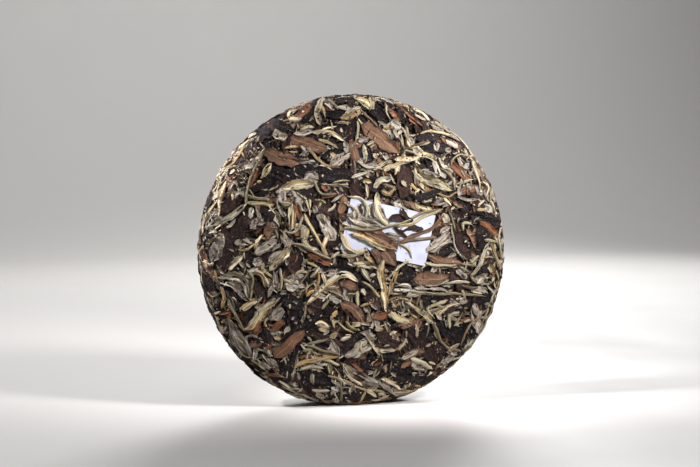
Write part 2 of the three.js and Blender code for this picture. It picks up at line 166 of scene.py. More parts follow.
STRIPS = {
    "plum": (
        (4, 3, 4, 10, -7),
    ),
    "brown": (
        (2.5, 74, 10, 77, 15),
    ),
    "olive": (
        (3, -72, 32, -63, 31, -54, 31), (3, -27, 71, -19, 68, -14, 65), (3, 48, 83, 55, 78),
        (2.5, -30, 46, -27, 39, -23, 37, -15, 37), (2.5, -20, 42, -8, 43),
        (1.5, 59, 55, 62, 60, 67, 62, 73, 60), (3, -41, 25, -46, 15), (2.5, -35, -5, -27, -9),
        (2.5, 30, -25, 46, -27, 66, -28, 84, -30), (2, -68, -60, -62, -60, -57, -64), (2.5, 21, 78, 24, 71),
        (2.5, -6, -44, 3, -45), (2, -62, -26, -66, -31), (2, -11, 32, -4, 27, -2, 22),
        (2, -7, 12, 3, 8, 12, 5, 24, 1), (2.5, -15, 81, -6, 81), (2.5, 28, 64, 34, 63, 39, 60),
        (1.5, 39, 59, 43, 61, 47, 62, 50, 58), (1.5, 53, 58, 56, 62, 59, 63),
        (2.5, -72, 36, -64, 34, -56, 33), (1.5, -70, 31, -66, 30, -65, 25), (1.5, -91, -9, -89, -17),
        (2.5, -86, -12, -79, -11, -74, -14), (2.5, -81, -26, -78, -29), (1.5, -96, -23, -92, -26, -88, -24),
        (1.5, -39, -24, -30, -18), (2, -21, -23, -16, -25, -11, -28), (2.5, -25, -35, -20, -29),
        (1.5, -18, 44, -7, 45), (1.5, 60, 2, 65, -2, 71, -6), (3, 49, -51, 53, -58),
        (2.5, 73, -16, 78, -21, 87, -22), (2.5, 1, -18, 7, -22, 13, -29), (2.5, 13, -27, 14, -36),
        (3, 39, -30, 40, -37), (4, -6, -46, 0, -44), (2.5, -10, -43, -6, -47, 0, -49),
        (2, -81, -47, -75, -53, -69, -60), (2, -78, -56, -73, -63, -68, -64),
        (2, -59, -77, -55, -75, -48, -77), (4, -27, -47, -21, -49), (2.5, -19, -39, -17, -47),
        (4, -20, -53, -15, -50), (2, -15, -43, -10, -48, -4, -51), (2, -34, -58, -30, -62, -25, -64),
        (2.5, -37, -61, -32, -60), (2.5, -34, -56, -26, -55, -20, -53), (4, -31, -75, -30, -82),
        (4, -20, -69, -19, -76), (2, 32, 55, 37, 49, 39, 44),
    ),
    "gold": (
        (3.5, -88, 34, -81, 45), (2.5, -24, 92, -22, 84), (4.5, -13, 84, -7, 85, 1, 90),
        (3, -34, 66, -31, 62, -24, 56, -13, 53), (4, 1, 45, 7, 44), (4.5, 13, 39, 18, 37, 22, 42),
        (2.5, 35, 49, 37, 44, 40, 40), (2, 50, 37, 58, 35, 64, 39), (3.5, -87, -19, -85, -25, -87, -33),
        (3.5, -68, -11, -62, -13, -60, -21), (2.5, -28, -9, -27, -17, -32, -26),
        (4.5, 28, -7, 23, -13, 18, -28), (2.5, 0, -11, 6, -18), (3, 87, 6, 91, -4, 94, -13),
        (2.5, -19, -41, -15, -36), (4, -42, -72, -37, -68, -25, -66, -14, -65), (2, 4, -88, -1, -96),
        (2, 81, -43, 73, -48, 67, -62), (2, 63, -46, 66, -49), (2.5, -48, 65, -39, 66),
        (2.5, -7, 84, -1, 89), (4, 30, 95, 32, 90), (2.5, 15, 78, 22, 79), (2.5, 37, 61, 41, 61),
        (2, -74, 66, -72, 59), (1.5, 60, 55, 60, 58, 62, 60), (3, -65, 44, -62, 45), (2, -73, -13, -72, -18),
        (3, -35, -27, -32, -24, -29, -23), (4, -18, -40, -15, -36), (2, 40, -40, 46, -44, 51, -51, 54, -59),
        (1.5, 87, -38, 83, -45, 80, -51), (2.5, 0, -34, 7, -31), (2, -77, -43, -73, -46, -69, -44, -65, -39),
        (3, -28, -73, -25, -73), (3, 16, -72, 17, -77), (2.5, 36, -86, 41, -87), (2, 35, 56, 39, 51, 43, 48),
        (2.5, 33, 44, 37, 39), (4, 2, 0, 9, -7),
    ),
    "silver": (
        (4, -15, 91, -5, 90), (3.5, -53, 35, -51, 28, -47, 22), (5, -89, -14, -78, -14, -72, -19, -70, -27),
        (3, -88, -17, -79, -20, -71, -29), (3, 35, -23, 59, -26), (6.5, -82, -41, -76, -52, -69, -63),
        (4, -10, -70, -1, -76, 12, -83), (5, 48, 30, 57, 33), (3, -30, -23, -25, -27),
        (2.5, -95, 27, -88, 20), (2.5, -97, 19, -89, 25), (2.5, -38, 67, -34, 63, -37, 60),
        (1.5, 35, 87, 43, 83), (2.5, 21, 78, 25, 72), (4, 15, 63, 18, 58), (2.5, -84, 70, -82, 60),
        (2.5, -66, 58, -61, 63), (2, -82, 39, -79, 44, -76, 41), (2, -83, 16, -78, 22),
        (2, -96, 20, -91, 25, -88, 29), (2, -96, 15, -92, 20, -88, 23), (2, -90, -6, -88, -9, -85, -12),
        (2.5, -84, -22, -81, -30, -78, -40), (2, -72, -5, -69, -8), (2.5, -55, -11, -55, -19),
        (2, -67, -37, -61, -30), (2.5, -43, -16, -43, -12), (2.5, -40, -21, -39, -26),
        (2.5, -47, -3, -47, -7), (2.5, -55, -10, -53, -22), (3, -51, -25, -47, -24), (2, -43, -29, -40, -31),
        (2, -44, -41, -42, -39), (2, -19, 32, -11, 37), (2, 62, 36, 70, 33, 79, 34), (2, 65, 22, 64, 18),
        (2, 75, 18, 79, 22), (1.5, 42, -21, 50, -21, 59, -18), (2.5, 57, -44, 57, -49),
        (2, 83, -35, 87, -34), (2.5, 84, -22, 90, -28, 93, -32), (3, 6, -32, 11, -36), (2, 27, -37, 31, -36),
        (3, 28, -29, 29, -35), (2.5, 0, -44, 7, -46), (1.5, -62, -62, -57, -68), (2.5, -64, -66, -58, -71),
        (2, -73, -51, -68, -50, -62, -53), (2.5, -57, -55, -51, -56), (2, -36, -38, -37, -44),
        (2.5, -24, -51, -20, -48), (3, -21, -63, -18, -58), (3, -40, -74, -39, -79), (3, -43, -81, -39, -83),
        (2, -45, -86, -36, -89, -26, -95), (2.5, -19, -79, -12, -84), (2, -11, -85, -3, -86),
        (2.5, 20, -77, 24, -80), (1.5, 34, -75, 43, -74), (2.5, 43, -61, 47, -59), (2.5, 57, -65, 65, -67),
        (2.5, 35, 49, 37, 42), (2.5, 14, -4, 15, -15),
    ),
    "cream": (
        (5.5, -62, 47, -59, 52, -56, 56), (5.5, -71, 31, -78, 25, -85, 21, -94, 14),
        (5, -22, 99, -27, 88, -25, 79), (6.5, -3, 97, 2, 95, 9, 90), (2.5, -10, 87, -5, 89, 1, 91),
        (2.5, -2, 83, -3, 70), (3, -38, 76, -34, 78, -29, 78), (2.5, -25, 76, -20, 78, -15, 79),
        (4, -31, 75, -19, 75, -10, 70), (3.5, 2, 68, 3, 62, 3, 56), (2.5, 16, 94, 17, 88, 20, 83),
        (3, 35, 92, 41, 89, 46, 83), (2.5, 39, 75, 48, 77, 60, 73), (4, 8, 52, 14, 56, 20, 58),
        (4.5, 14, 52, 24, 56, 34, 58), (4.5, 22, 58, 33, 59, 41, 62, 49, 59), (3, -6, 47, 0, 49, 7, 51),
        (5, 8, 41, 14, 46, 20, 47), (3, 3, 44, 5, 34), (8, 35, 56, 39, 48, 50, 44, 61, 39),
        (3.5, 73, 60, 77, 51, 80, 39), (2.5, 63, 43, 70, 45, 75, 46), (2.5, 82, 45, 87, 39, 86, 32),
        (2.5, 96, 18, 93, 7, 95, -6), (7, -43, 30, -44, 22, -45, 14), (3, -67, 3, -65, 8, -61, 12),
        (2.5, -77, 3, -72, 3, -67, 6), (5, -83, -9, -79, -5, -74, 0), (6.5, -58, -10, -52, -4, -45, 3),
        (3, -36, 25, -31, 15, -26, 6, -20, -3), (4, -38, 17, -36, 8, -32, 3, -27, 2),
        (4, -21, 11, -24, 4, -22, -3), (6, -2, -18, -11, -14, -19, -17, -27, -24, -34, -32),
        (3.5, -2, -24, -2, -34), (5.5, 14, -4, 13, -14, 15, -24, 17, -38), (4, -9, -6, 0, -8, 11, -10),
        (4, 35, 32, 41, 28, 55, 26), (3, 42, -7, 52, -9, 64, -9), (4.5, 86, 6, 82, -3, 74, -17),
        (2.5, 82, 7, 92, 5), (3, 56, -21, 73, -20), (6.5, -53, -28, -62, -35, -67, -42, -73, -47),
        (5.5, -76, -35, -71, -31, -65, -29), (3, -29, -44, -20, -47), (4, 4, -51, 9, -59, 13, -66),
        (4, 11, -63, 23, -62), (3, -39, -73, -30, -71, -23, -73), (3, -31, -86, -19, -87),
        (5, -13, -69, -7, -77, 1, -85), (2, -12, -80, 0, -86, 14, -89), (5, 29, -30, 38, -37, 48, -46),
        (3, 58, -31, 50, -34, 44, -37, 49, -43), (2.5, 36, -46, 37, -55), (3, 51, -41, 59, -35, 66, -34),
        (4.5, 33, -68, 40, -71, 48, -76), (3, 87, -50, 80, -59, 73, -68), (2.5, 23, -90, 37, -90, 49, -86),
        (3, -50, -82, -42, -87, -34, -89), (2, -69, -65, -60, -72), (3, 58, -40, 59, -50),
        (3, 26, 45, 30, 41), (2.5, 31, 66, 39, 68, 46, 70), (5.5, 77, -21, 84, -15), (2.5, 9, -49, 15, -49),
        (4, 58, -65, 66, -60), (3, -49, -15, -43, -19), (2.5, -98, -4, -92, -7),
        (3, -8, 35, 0, 34, 4, 29, 3, 21), (2.5, -13, 11, -9, 3, 1, -1), (2.5, -20, 97, -17, 93, -14, 89),
        (2, -45, 63, -39, 63), (2, -40, 81, -39, 77), (3, 7, 98, 7, 93, 6, 89), (2, 9, 95, 8, 90),
        (2, -9, 88, -4, 90, 1, 91), (1.5, 2, 87, 8, 82, 11, 79), (3, 27, 72, 28, 66), (4, 30, 71, 32, 66),
        (3, 9, 70, 4, 67), (4, 8, 62, 11, 59), (2, -81, 53, -77, 54), (2, -88, 54, -85, 60),
        (2.5, 51, 60, 52, 56), (1.5, 66, 52, 69, 47), (2, -80, 38, -80, 33), (2, -76, 38, -73, 35),
        (2, -58, 31, -56, 27, -53, 24), (2.5, -66, 7, -62, 12), (2, -99, 12, -98, 20, -94, 26),
        (2, -95, 25, -91, 30, -88, 34), (2.5, -88, 46, -83, 52, -81, 54), (2, -94, 13, -89, 14),
        (2.5, -100, -16, -98, -20), (2.5, -94, -7, -91, -5), (2, -97, -26, -94, -31, -91, -35),
        (2.5, -92, -37, -87, -35), (1.5, -73, 2, -73, -3), (3, -76, -4, -73, -8), (3, -62, -10, -61, -5),
        (2, -69, -21, -69, -28), (3, -60, -14, -58, -19), (2.5, -42, -14, -39, -11, -34, -12),
        (3, -37, 8, -34, 3, -27, 2), (3, -19, -3, -13, 1), (2.5, -32, -15, -27, -9),
        (3, -30, -17, -27, -22, -30, -25), (3, -25, -12, -23, -20), (2, -45, -31, -45, -34),
        (2, -35, 34, -33, 28, -32, 23), (2.5, -32, 34, -32, 28), (2.5, -37, 24, -39, 17, -43, 13, -48, 14),
        (2, -39, 15, -34, 17), (2.5, -21, 26, -16, 31), (2, -23, 24, -23, 20), (3, 54, 34, 60, 29),
        (2, 81, 45, 86, 41, 84, 34), (2, 86, 33, 88, 29, 90, 24), (2.5, 78, 29, 83, 33), (3, 77, 26, 84, 26),
        (3, 68, 13, 68, 18, 74, 17), (3, 73, -8, 79, -3), (1.5, 82, -5, 86, -4, 90, -5),
        (2.5, 67, -25, 70, -32), (3, 59, -40, 59, -50), (2, 62, -48, 66, -47),
        (2, 95, -22, 90, -28, 87, -34), (2.5, 73, -16, 80, -10), (2.5, 65, -10, 73, -14),
        (4, 0, -10, 5, -17), (3, 6, -15, 10, -14), (4, 0, -23, 3, -27), (2, -9, -26, -3, -25),
        (2.5, 26, -41, 32, -39), (2, 20, -37, 22, -43), (2.5, 20, -26, 28, -26), (2, 33, -40, 38, -43),
        (4, 9, -48, 15, -49), (3, 37, -47, 37, -55), (2, 30, -50, 30, -55), (2.5, -10, -52, -6, -52),
        (2, -87, -44, -85, -49), (2, -83, -53, -82, -56), (3, -55, -52, -51, -53),
        (3, -29, -44, -25, -43, -20, -46), (4, -13, -55, -6, -53), (2, -34, -52, -31, -55),
        (2.5, -51, -79, -44, -84, -38, -85), (2, 0, -56, 1, -63), (3, 24, -63, 28, -59, 31, -55),
        (2, 15, -60, 19, -59), (2, 34, -79, 38, -78), (3, 14, -81, 21, -84, 27, -88), (2, 32, -87, 33, -84),
        (3, 4, -88, 11, -92), (3, 12, -90, 16, -91), (2, 8, -95, 14, -94), (2, 61, -71, 70, -70),
        (2, 59, -77, 69, -75), (2, 69, -64, 72, -60), (2.5, 45, -71, 50, -73), (4, 26, 45, 29, 42),
        (1.5, 39, 52, 45, 52), (3, -13, -1, -6, -2, 3, 2), (4.5, -6, -6, 5, -7, 11, -10),
    ),
    "rust": (
        (2, 23, 94, 31, 87, 42, 80), (3.5, -6, -69, 2, -75), (2.5, 91, -34, 93, -47, 83, -52),
        (2.5, -64, 53, -69, 41), (2, -69, 11, -62, 16), (2, -88, -36, -82, -35), (2.5, -82, -34, -82, -40),
        (1.5, -40, 1, -42, -6), (1.5, -25, 34, -15, 37), (3, -25, 42, -21, 39), (2, 46, 30, 51, 29),
        (2.5, 70, 41, 71, 36), (2, 92, -34, 94, -46, 84, -51), (2.5, 85, -18, 93, -13),
        (2.5, -60, -59, -56, -56), (2, -60, -75, -49, -76), (3, -39, -65, -30, -64), (2.5, 9, -72, 14, -70),
        (1.5, -6, -96, 9, -96),
    ),
    "stem": (
        (2, -60, 65, -64, 56, -67, 50, -70, 44, -72, 31), (1.5, 1, 89, 6, 84, 11, 79),
        (2, 52, 54, 60, 47, 62, 39), (2, -71, -10, -68, -16, -70, -28), (2, -42, 7, -29, 1, -19, -4),
        (2, -74, -46, -78, -39, -83, -27), (2, -37, -56, -28, -60, -14, -64),
        (2, -21, -77, -13, -81, -12, -94), (2, 48, -46, 53, -58, 59, -63, 67, -65), (2, 58, 26, 62, 14),
        (2, -13, 14, -9, 16, 6, 14, 18, 17, 29, 19, 42, 25, 54, 27), (2.5, 24, 6, 37, 8, 50, 9),
        (1.5, 28, 65, 35, 67, 43, 70), (2, -51, -9, -50, -22), (1.5, -35, -31, -36, -41),
        (1, -25, 43, -7, 41), (2, 67, -22, 78, -24),
    ),
}

CROSSING_LAST = {
    "cream": (
        (3, 22, 16, 33, 18, 41, 22, 54, 27), (2, 24, 6, 31, 2, 33, -4), (2, 33, -4, 26, -9, 16, -18),
        (2, 60, 17, 61, 9, 63, 1, 69, -6), (2.5, 87, -48, 81, -60, 72, -68), (2, 62, 79, 71, 70, 79, 60),
        (2.5, -83, 45, -87, 33, -88, 22),
    ),
    "gold": (
        (1.8, 92, -35, 88, -43, 83, -52), (2, 91, -12, 93, -22, 90, -32), (2, -71, 68, -76, 60, -83, 52),
    ),
    "brown": (
        (2.8, 25, 6, 33, 10, 47, 16, 59, 30),
    ),
}

# ---------------------------------------------------------------- the kinds of piece
# part: the object it joins. tones: where on its finish's ramp it is drawn from. form: flat leaves are thin
# sheets, rolled ones buds and curled strips, twigs stems. blunt: how square its ends are. torn: how far
# its sides are eaten in, as a share of its width. wrinkle and curl, which only flat leaves have, are
# heights in millimetres. length and width are from and to in millimetres, for the pieces that are strewn.

KINDS = {
    "dark": dict(
        part="dark_leaves", tones=(0.0, 0.55), form="flat", blunt=7.0, torn=0.5, wrinkle=0.34, curl=0.5,
        length=(13, 30), width=(6, 13)),
    "plum": dict(
        part="plum_leaves", tones=(0.7, 1.0), form="flat", blunt=5.0, torn=0.5, wrinkle=0.34, curl=0.5,
        length=(12, 28), width=(5, 11)),
    "brown": dict(
        part="brown_leaves", tones=(0.0, 0.55), form="flat", blunt=3.6, torn=0.34, wrinkle=0.24, curl=0.5,
        length=(12, 26), width=(4, 10)),
    "rust": dict(
        part="brown_leaves", tones=(0.7, 1.0), form="flat", blunt=5.0, torn=0.45, wrinkle=0.24, curl=0.5,
        length=(7, 18), width=(2.5, 5)),
    "silver": dict(
        part="silver_leaves", tones=(0.0, 1.0), form="flat", blunt=4.0, torn=0.5, wrinkle=0.42, curl=0.7,
        length=(8, 19), width=(4.5, 9)),
    "cream": dict(
        part="buds_and_strips", tones=(0.0, 0.4), form="rolled", blunt=4.0, torn=0.42, wrinkle=0.12,
        length=(7, 22), width=(1.6, 4)),
    "olive": dict(
        part="buds_and_strips", tones=(0.42, 0.62), form="rolled", blunt=5.0, torn=0.4, wrinkle=0.12,
        length=(8, 26), width=(1.4, 3.5)),
    "gold": dict(
        part="buds_and_strips", tones=(0.72, 1.0), form="rolled", blunt=4.0, torn=0.4, wrinkle=0.12,
        length=(7, 18), width=(1.4, 3.2)),
    "stem": dict(
        part="stems", tones=(0.0, 1.0), form="twig", blunt=14.0, torn=0.12, wrinkle=0.08,
        length=(16, 46), width=(1.4, 2.6)),
    "sliver": dict(
        part="slivers", tones=(0.0, 1.0), form="flat", blunt=5.0, torn=0.55, wrinkle=0.15, curl=0.4,
        length=(3, 9), width=(1, 3)),
}

# How often each kind is strewn over the faces, over the rim, where small grey and pale pieces crowd, and
# last of all over the back
FACE_MIX = {
    "dark": 0.25, "plum": 0.15, "brown": 0.1, "rust": 0.05, "silver": 0.18, "cream": 0.12, "olive": 0.06,
    "gold": 0.04, "stem": 0.05,
}
RIM_MIX = {
    "dark": 0.13, "plum": 0.1, "brown": 0.08, "rust": 0.05, "silver": 0.34, "cream": 0.17, "olive": 0.04,
    "gold": 0.03, "stem": 0.06,
}
BACK_LAST_MIX = {
    "dark": 0.07, "plum": 0.12, "brown": 0.14, "rust": 0.05, "silver": 0.2, "cream": 0.21, "olive": 0.12,
    "gold": 0.04, "stem": 0.05,
}
SLIVER_MIX = {"sliver": 1}

# The leaves strewn on the rim are this share of the size of those on the faces
RIM_SIZE = 0.62

# In millimetres: how far past the edge of a face pieces are strewn on it, and the band in which the rim's
# pieces lie, from the middle of the rim towards either face
FACE_SPILL = 6
RIM_BAND = (-4, 21)

# Leaves of these kinds that are listed one by one and wider than this lie on top, nearly free of crumbs
BARE_KINDS = ("dark", "plum", "brown", "rust")
BROAD_LEAF = 6

# Flat listed pieces are made this much wider, because their sides are then torn
TORN_SPARE = 1.12

# How high each layer may reach, as a share of the press height, so that the next still lies over it
CEILINGS = {"strewn": 0.5, "wide": 0.7, "ticket": 0.8}


def colour(hex_code):
    """The linear colour of an sRGB hex value."""
    channels = [int(hex_code[i:i + 2], 16) / 255 for i in (1, 3, 5)]
    return [c / 12.92 if c <= 0.04045 else ((c + 0.055) / 1.055) ** 2.4 for c in channels] + [1.0]


def shade(hex_code):
    """The same without its alpha."""
    return tuple(colour(hex_code)[:3])


def length_property(name, description, default):
    return bpy.props.FloatProperty(
        name=name, description=description, default=default, unit="LENGTH", precision=4)


def count_property(name, description, default):
    return bpy.props.IntProperty(name=name, description=description, default=default, min=0)


def angle_property(name, description, degrees):
    return bpy.props.FloatProperty(
        name=name, description=description, default=math.radians(degrees), subtype="ANGLE")


def colour_property(name, description, hex_code):
    return bpy.props.FloatVectorProperty(
        name=name, description=description, default=shade(hex_code), subtype="COLOR", min=0, max=1)


class CakeSizes(bpy.types.PropertyGroup):
    """The pressed body, as the solids have it"""
    radius: length_property("Radius", "From the axis to the rim, without its leaves", 99 * MM)
    rim: length_property("Rim thickness", "Through the cake where the faces meet the shoulders", 25 * MM)
    shoulder: length_property("Shoulder radius", "Round from the face into the rim", 9.5 * MM)
    crown: length_property("Crown", "How far the middle of the face stands proud of its edge", 2 * MM)
    dimple_radius: length_property("Dimple radius", "The hollow of the cloth's knot in the back", 26 * MM)
    dimple_depth: length_property("Dimple depth", "The depth of that hollow", 5 * MM)
    core_inset: length_property("Core inset", "How far the core lies under the leaves' bed", 0.7 * MM)


class LeafSizes(bpy.types.PropertyGroup):
    """How much tea is strewn and how it packs"""
    face_pieces: count_property("Pieces on the face", "Strewn under those laid by hand", 560)
    back_pieces: count_property("Pieces on the back", "Strewn over the back", 720)
    back_last_pieces: count_property("Last pieces on the back", "In a paler mix, over all the others", 300)
    rim_pieces: count_property("Pieces on the rim", "Strewn round the rim", 900)
    face_slivers: count_property("Slivers on the face", "Thin broken pieces in the hollows of the face", 450)
    back_slivers: count_property("Slivers on the back", "Thin broken pieces in the hollows of the back", 500)
    rim_slivers: count_property("Slivers on the rim", "Thin broken pieces round the rim", 1000)
    crumbs: count_property("Crumbs", "Broken bits lying on the leaves", 3000)
    press: length_property("Press height", "Above the bed, where the mould stops the leaves", 3.3 * MM)
    crumb_size: length_property("Crumb size", "Across a common crumb", 1.3 * MM)


class TicketSizes(bpy.types.PropertyGroup):
    """The paper ticket caught in the face"""
    width: length_property("Width", "Along the ticket", 56.5 * MM)
    height: length_property("Height", "Across the ticket", 33 * MM)
    across: length_property("Across", "Its middle, to the right of the cake's axis", 18 * MM)
    up: length_property("Up", "Its middle, above the cake's axis", 12.8 * MM)
    turn: angle_property("Turn", "Of its long side, anticlockwise", -12)
    paper: length_property("Paper", "The thickness of the paper", 0.14 * MM)


class TeaColours(bpy.types.PropertyGroup):
    """The colours that a user would change"""
    darkest: colour_property("Darkest leaf", "Black, oxidised leaves", "#151214")
    plum: colour_property("Plum leaf", "Dark leaves with a red cast", "#291e1e")
    brown: colour_property("Brown leaf", "Dry brown leaves", "#70523d")
    rust: colour_property("Rust leaf", "The reddest leaves", "#824c2d")
    silver: colour_property("Silver leaf", "The downy grey underside of leaves", "#9c9083")
    cream: colour_property("Cream bud", "Buds and pale strips", "#d6ccb3")
    olive: colour_property("Olive strip", "Greenish curled strips", "#8f855c")
    gold: colour_property("Gold strip", "Mustard strips", "#a98a4c")
    stem: colour_property("Stem", "Twigs between the leaves", "#857059")
    paper: colour_property("Paper", "The ticket", "#bdc0d0")
    floor: colour_property("Floor", "The pale floor", "#c8c6c3")


class StageSizes(bpy.types.PropertyGroup):
    """The camera and the lights"""
    azimuth: angle_property("Azimuth", "How far round the camera stands, to the left where below zero", -13)
    distance: length_property("Distance", "From the cake's axis to the camera", 0.6234)
    height: length_property("Height", "Of the camera above the floor", 0.14)
    aim_across: length_property("Aim across", "The point that the camera looks at, to the right", -3.6 * MM)
    aim_up: length_property("Aim up", "Its height above the floor", 108.8 * MM)
    lens: bpy.props.FloatProperty(name="Lens", description="Focal length on a 36 mm sensor", default=50)


# ---------------------------------------------------------------- the cake's surface

class Surface:
    """The smooth cake: its section swept round the Y axis, and two flat sheets wrapped over it.

    The face sheet is wrapped from the middle of the face outwards and the back sheet from the middle of
    the back. A place is (side, u, v, height) in millimetres: u to the right seen from that side, v up.
    """

    # Millimetres between the points of the section, and how many of them its slope is averaged over
    STEP = 0.25
    SLOPE_SPAN = 9

    def __init__(self, sizes, ticket):
        points = self.section(sizes)
        lengths = np.concatenate([[0], np.cumsum(np.hypot(*np.diff(points, axis=0).T))])
        self.total = lengths[-1]
        self.along = np.arange(0, self.total, self.STEP)
        self.radial = np.interp(self.along, lengths, points[:, 0])
        self.depth = np.interp(self.along, lengths, points[:, 1])
        slope_r, slope_y = np.gradient(self.radial), np.gradient(self.depth)
        slope_r, slope_y = self.averaged(slope_r), self.averaged(slope_y)
        size = np.hypot(slope_r, slope_y)
        self.normal_r, self.normal_y = slope_y / size, -slope_r / size
        self.origin = np.zeros(3)
        self.origin = self.middle_in_frame(ticket)

    def averaged(self, slope):
        """The slope without the corners between the section's curves."""
        share = np.ones(self.SLOPE_SPAN) / self.SLOPE_SPAN
        return np.convolve(np.pad(slope, self.SLOPE_SPAN // 2, mode="edge"), share, mode="valid")

    def middle_in_frame(self, ticket):
        """Where the middle of the cake lies in the frame, told by where the frame has the ticket."""
        u, v = ticket_grid(ticket, 11, 7)
        sheet = self.wrap("face", u, v, np.zeros(u.shape)).reshape(-1, 3)
        low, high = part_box("paper_ticket")
        return (np.array(low) + np.array(high)) / 2 / MM - (sheet.min(0) + sheet.max(0)) / 2

    @staticmethod
    def section(sizes):
        """Half of the section as (distance from the axis, y), from the face's middle to the back's."""
        radius, shoulder, crown = sizes.radius / MM, sizes.shoulder / MM, sizes.crown / MM
        half, flat = sizes.rim / MM / 2, radius - shoulder
        wide, deep = sizes.dimple_radius / MM, sizes.dimple_depth / MM
        t = np.linspace(0, 1, 80)[:, None]
        turn = np.linspace(-math.pi / 2, 0, 60)[:, None]

        def curve(*controls):
            share = len(controls) - 1
            return sum(math.comb(share, i) * t**i * (1 - t) ** (share - i) * np.array([c])
                       for i, c in enumerate(controls))

        face = curve((0, -half - crown), (flat * 0.6, -half - crown), (flat, -half))
        front = np.hstack([flat + shoulder * np.cos(turn), shoulder - half + shoulder * np.sin(turn)])
        rear = np.hstack([flat + shoulder * np.cos(turn), half - shoulder - shoulder * np.sin(turn)])[::-1]
        back = curve((flat, half), (flat * 0.8, half + crown), (wide * 1.4, half + crown))
        dimple = curve((wide * 1.4, half + crown), (wide * 0.8, half + crown),
                       (wide * 0.6, half + crown - deep), (0, half + crown - deep))
        points = np.concatenate([face, front, rear, back, dimple])
        moved = np.hypot(*np.diff(points, axis=0).T) > 1e-6
        return points[np.concatenate([[True], moved])]

    def reach(self, side, u, v):
        """How far along the section from the face's middle a place lies, and its angle round the axis."""
        out = np.hypot(u, v)
        if side == "face":
            return out, np.arctan2(v, u)
        return self.total - out, np.arctan2(v, -u)

    def wrap(self, side, u, v, height):
        """The points in space of places on one sheet, with a last axis of x, y, z."""
        along, angle = self.reach(side, u, v)
        radial = np.interp(along, self.along, self.radial)
        depth = np.interp(along, self.along, self.depth)
        out = radial + np.interp(along, self.along, self.normal_r) * height
        y = depth + np.interp(along, self.along, self.normal_y) * height
        return np.stack([out * np.cos(angle), y, out * np.sin(angle)], -1) + self.origin


class Heights:
    """The height of the topmost tea over the bed, on both sheets, which overlap at the rim.

    It also keeps where on the face a broad leaf lies on top, clean of crumbs.
    """

    # In millimetres: the size of a cell, how far the maps reach from the middle, and how far apart the
    # marks are by which a piece covers them
    CELL = 0.5
    REACH = 128.0
    MARK = 0.4

    def __init__(self, surface):
        self.surface = surface
        cells = int(2 * self.REACH / self.CELL)
        self.maps = {side: np.zeros((cells, cells)) for side in ("face", "back")}
        self.clean = np.zeros((cells, cells), bool)

    def cells(self, u, v):
        """The cells in which places on a sheet lie."""
        top = self.maps["face"].shape[0] - 1
        place = [np.clip(((w + self.REACH) / self.CELL).astype(int), 0, top) for w in (u, v)]
        return place[0], place[1]

    def read(self, side, u, v):
        return self.maps[side][self.cells(u, v)]

    def raise_to(self, side, u, v, height):
        """Marks what a piece covers on its own sheet and, near the rim, on the other."""
        np.maximum.at(self.maps[side], self.cells(u, v), height)
        out = np.hypot(u, v)
        other = self.surface.total - out
        near = other < self.REACH
        if near.any():
            scale = other[near] / out[near]
            far_side = "back" if side == "face" else "face"
            np.maximum.at(self.maps[far_side], self.cells(-u[near] * scale, v[near] * scale), height[near])


def ticket_grid(ticket, rows, columns):
    """(u, v) of the ticket's net on the face sheet, rows along its width."""
    along = np.linspace(-0.5, 0.5, rows)[:, None] * ticket.width / MM
    across = np.linspace(-0.5, 0.5, columns)[None, :] * ticket.height / MM
    c, s = math.cos(ticket.turn), math.sin(ticket.turn)
    return ticket.across / MM + along * c - across * s, ticket.up / MM + along * s + across * c


# ---------------------------------------------------------------- one piece of tea

def smooth_line(points, count):
    """Evenly spaced points on a smooth line through the given ones."""
    points = np.asarray(points, float)
    if len(points) > 2:
        ends = np.concatenate([[2 * points[0] - points[1]], points, [2 * points[-1] - points[-2]]])
        t = np.linspace(0, 1, 10, endpoint=False)[:, None]
        runs = []
        for a, b, c, d in zip(ends, ends[1:], ends[2:], ends[3:]):
            runs.append(0.5 * (2 * b + (c - a) * t + (2 * a - 5 * b + 4 * c - d) * t**2
                               + (3 * b - a - 3 * c + d) * t**3))
        points = np.concatenate(runs + [points[-1:]])
    lengths = np.concatenate([[0], np.cumsum(np.hypot(*np.diff(points, axis=0).T))])
    places = np.linspace(0, lengths[-1], count)
    return np.stack([np.interp(places, lengths, points[:, i]) for i in (0, 1)], -1), lengths[-1]


def soft_noise(rng, count, passes=2):
    """A smooth run of random values, about between -1 and 1."""
    values = rng.normal(size=count + 2 * passes)
    for _ in range(passes):
        values = (values[:-2] + values[1:-1] * 2 + values[2:]) / 4
    return values * (1.0 + 0.5 * passes)


def relax(heights, passes):
    """Lets a stiff sheet bridge the small hollows under it."""
    for _ in range(passes):
        wide = np.pad(heights, 1, mode="edge")
        heights = (wide[:-2, 1:-1] + wide[2:, 1:-1] + wide[1:-1, :-2] + wide[1:-1, 2:] + 4 * heights) / 8
    return heights


def torn_side(kind, t, rng, by_hand):
    """Half the width of a piece along one side, as a share: straight runs between a few torn corners.

    A listed piece keeps more of its width, and its ends are squarer.
    """
    way = "hand" if by_hand else "strewn"
    knots = np.sort(np.concatenate([[0, 1], rng.uniform(0.08, 0.92, rng.integers(3, 7))]))
    widths = 1 - kind["torn"] * TORN[way] * rng.uniform(0, 1, len(knots))
    if kind["form"] == "flat":
        widths[[0, -1]] *= rng.choice(END_WIDTHS[way], 2)
    side = np.interp(t, knots, widths) * (1 - FRAY[kind["form"]] * rng.uniform(0, 1, len(t)))
    blunt = kind["blunt"] * rng.choice(END_SQUARENESS[way], 2)
    side *= np.maximum(1 - np.abs(2 * t - 1) ** np.where(t < 0.5, *blunt), 0) ** 0.55
    if kind["form"] == "rolled":
        side *= 1 - rng.uniform(0.0, 0.5) * t**1.5
    return np.maximum(side, NARROWEST[kind["form"]])


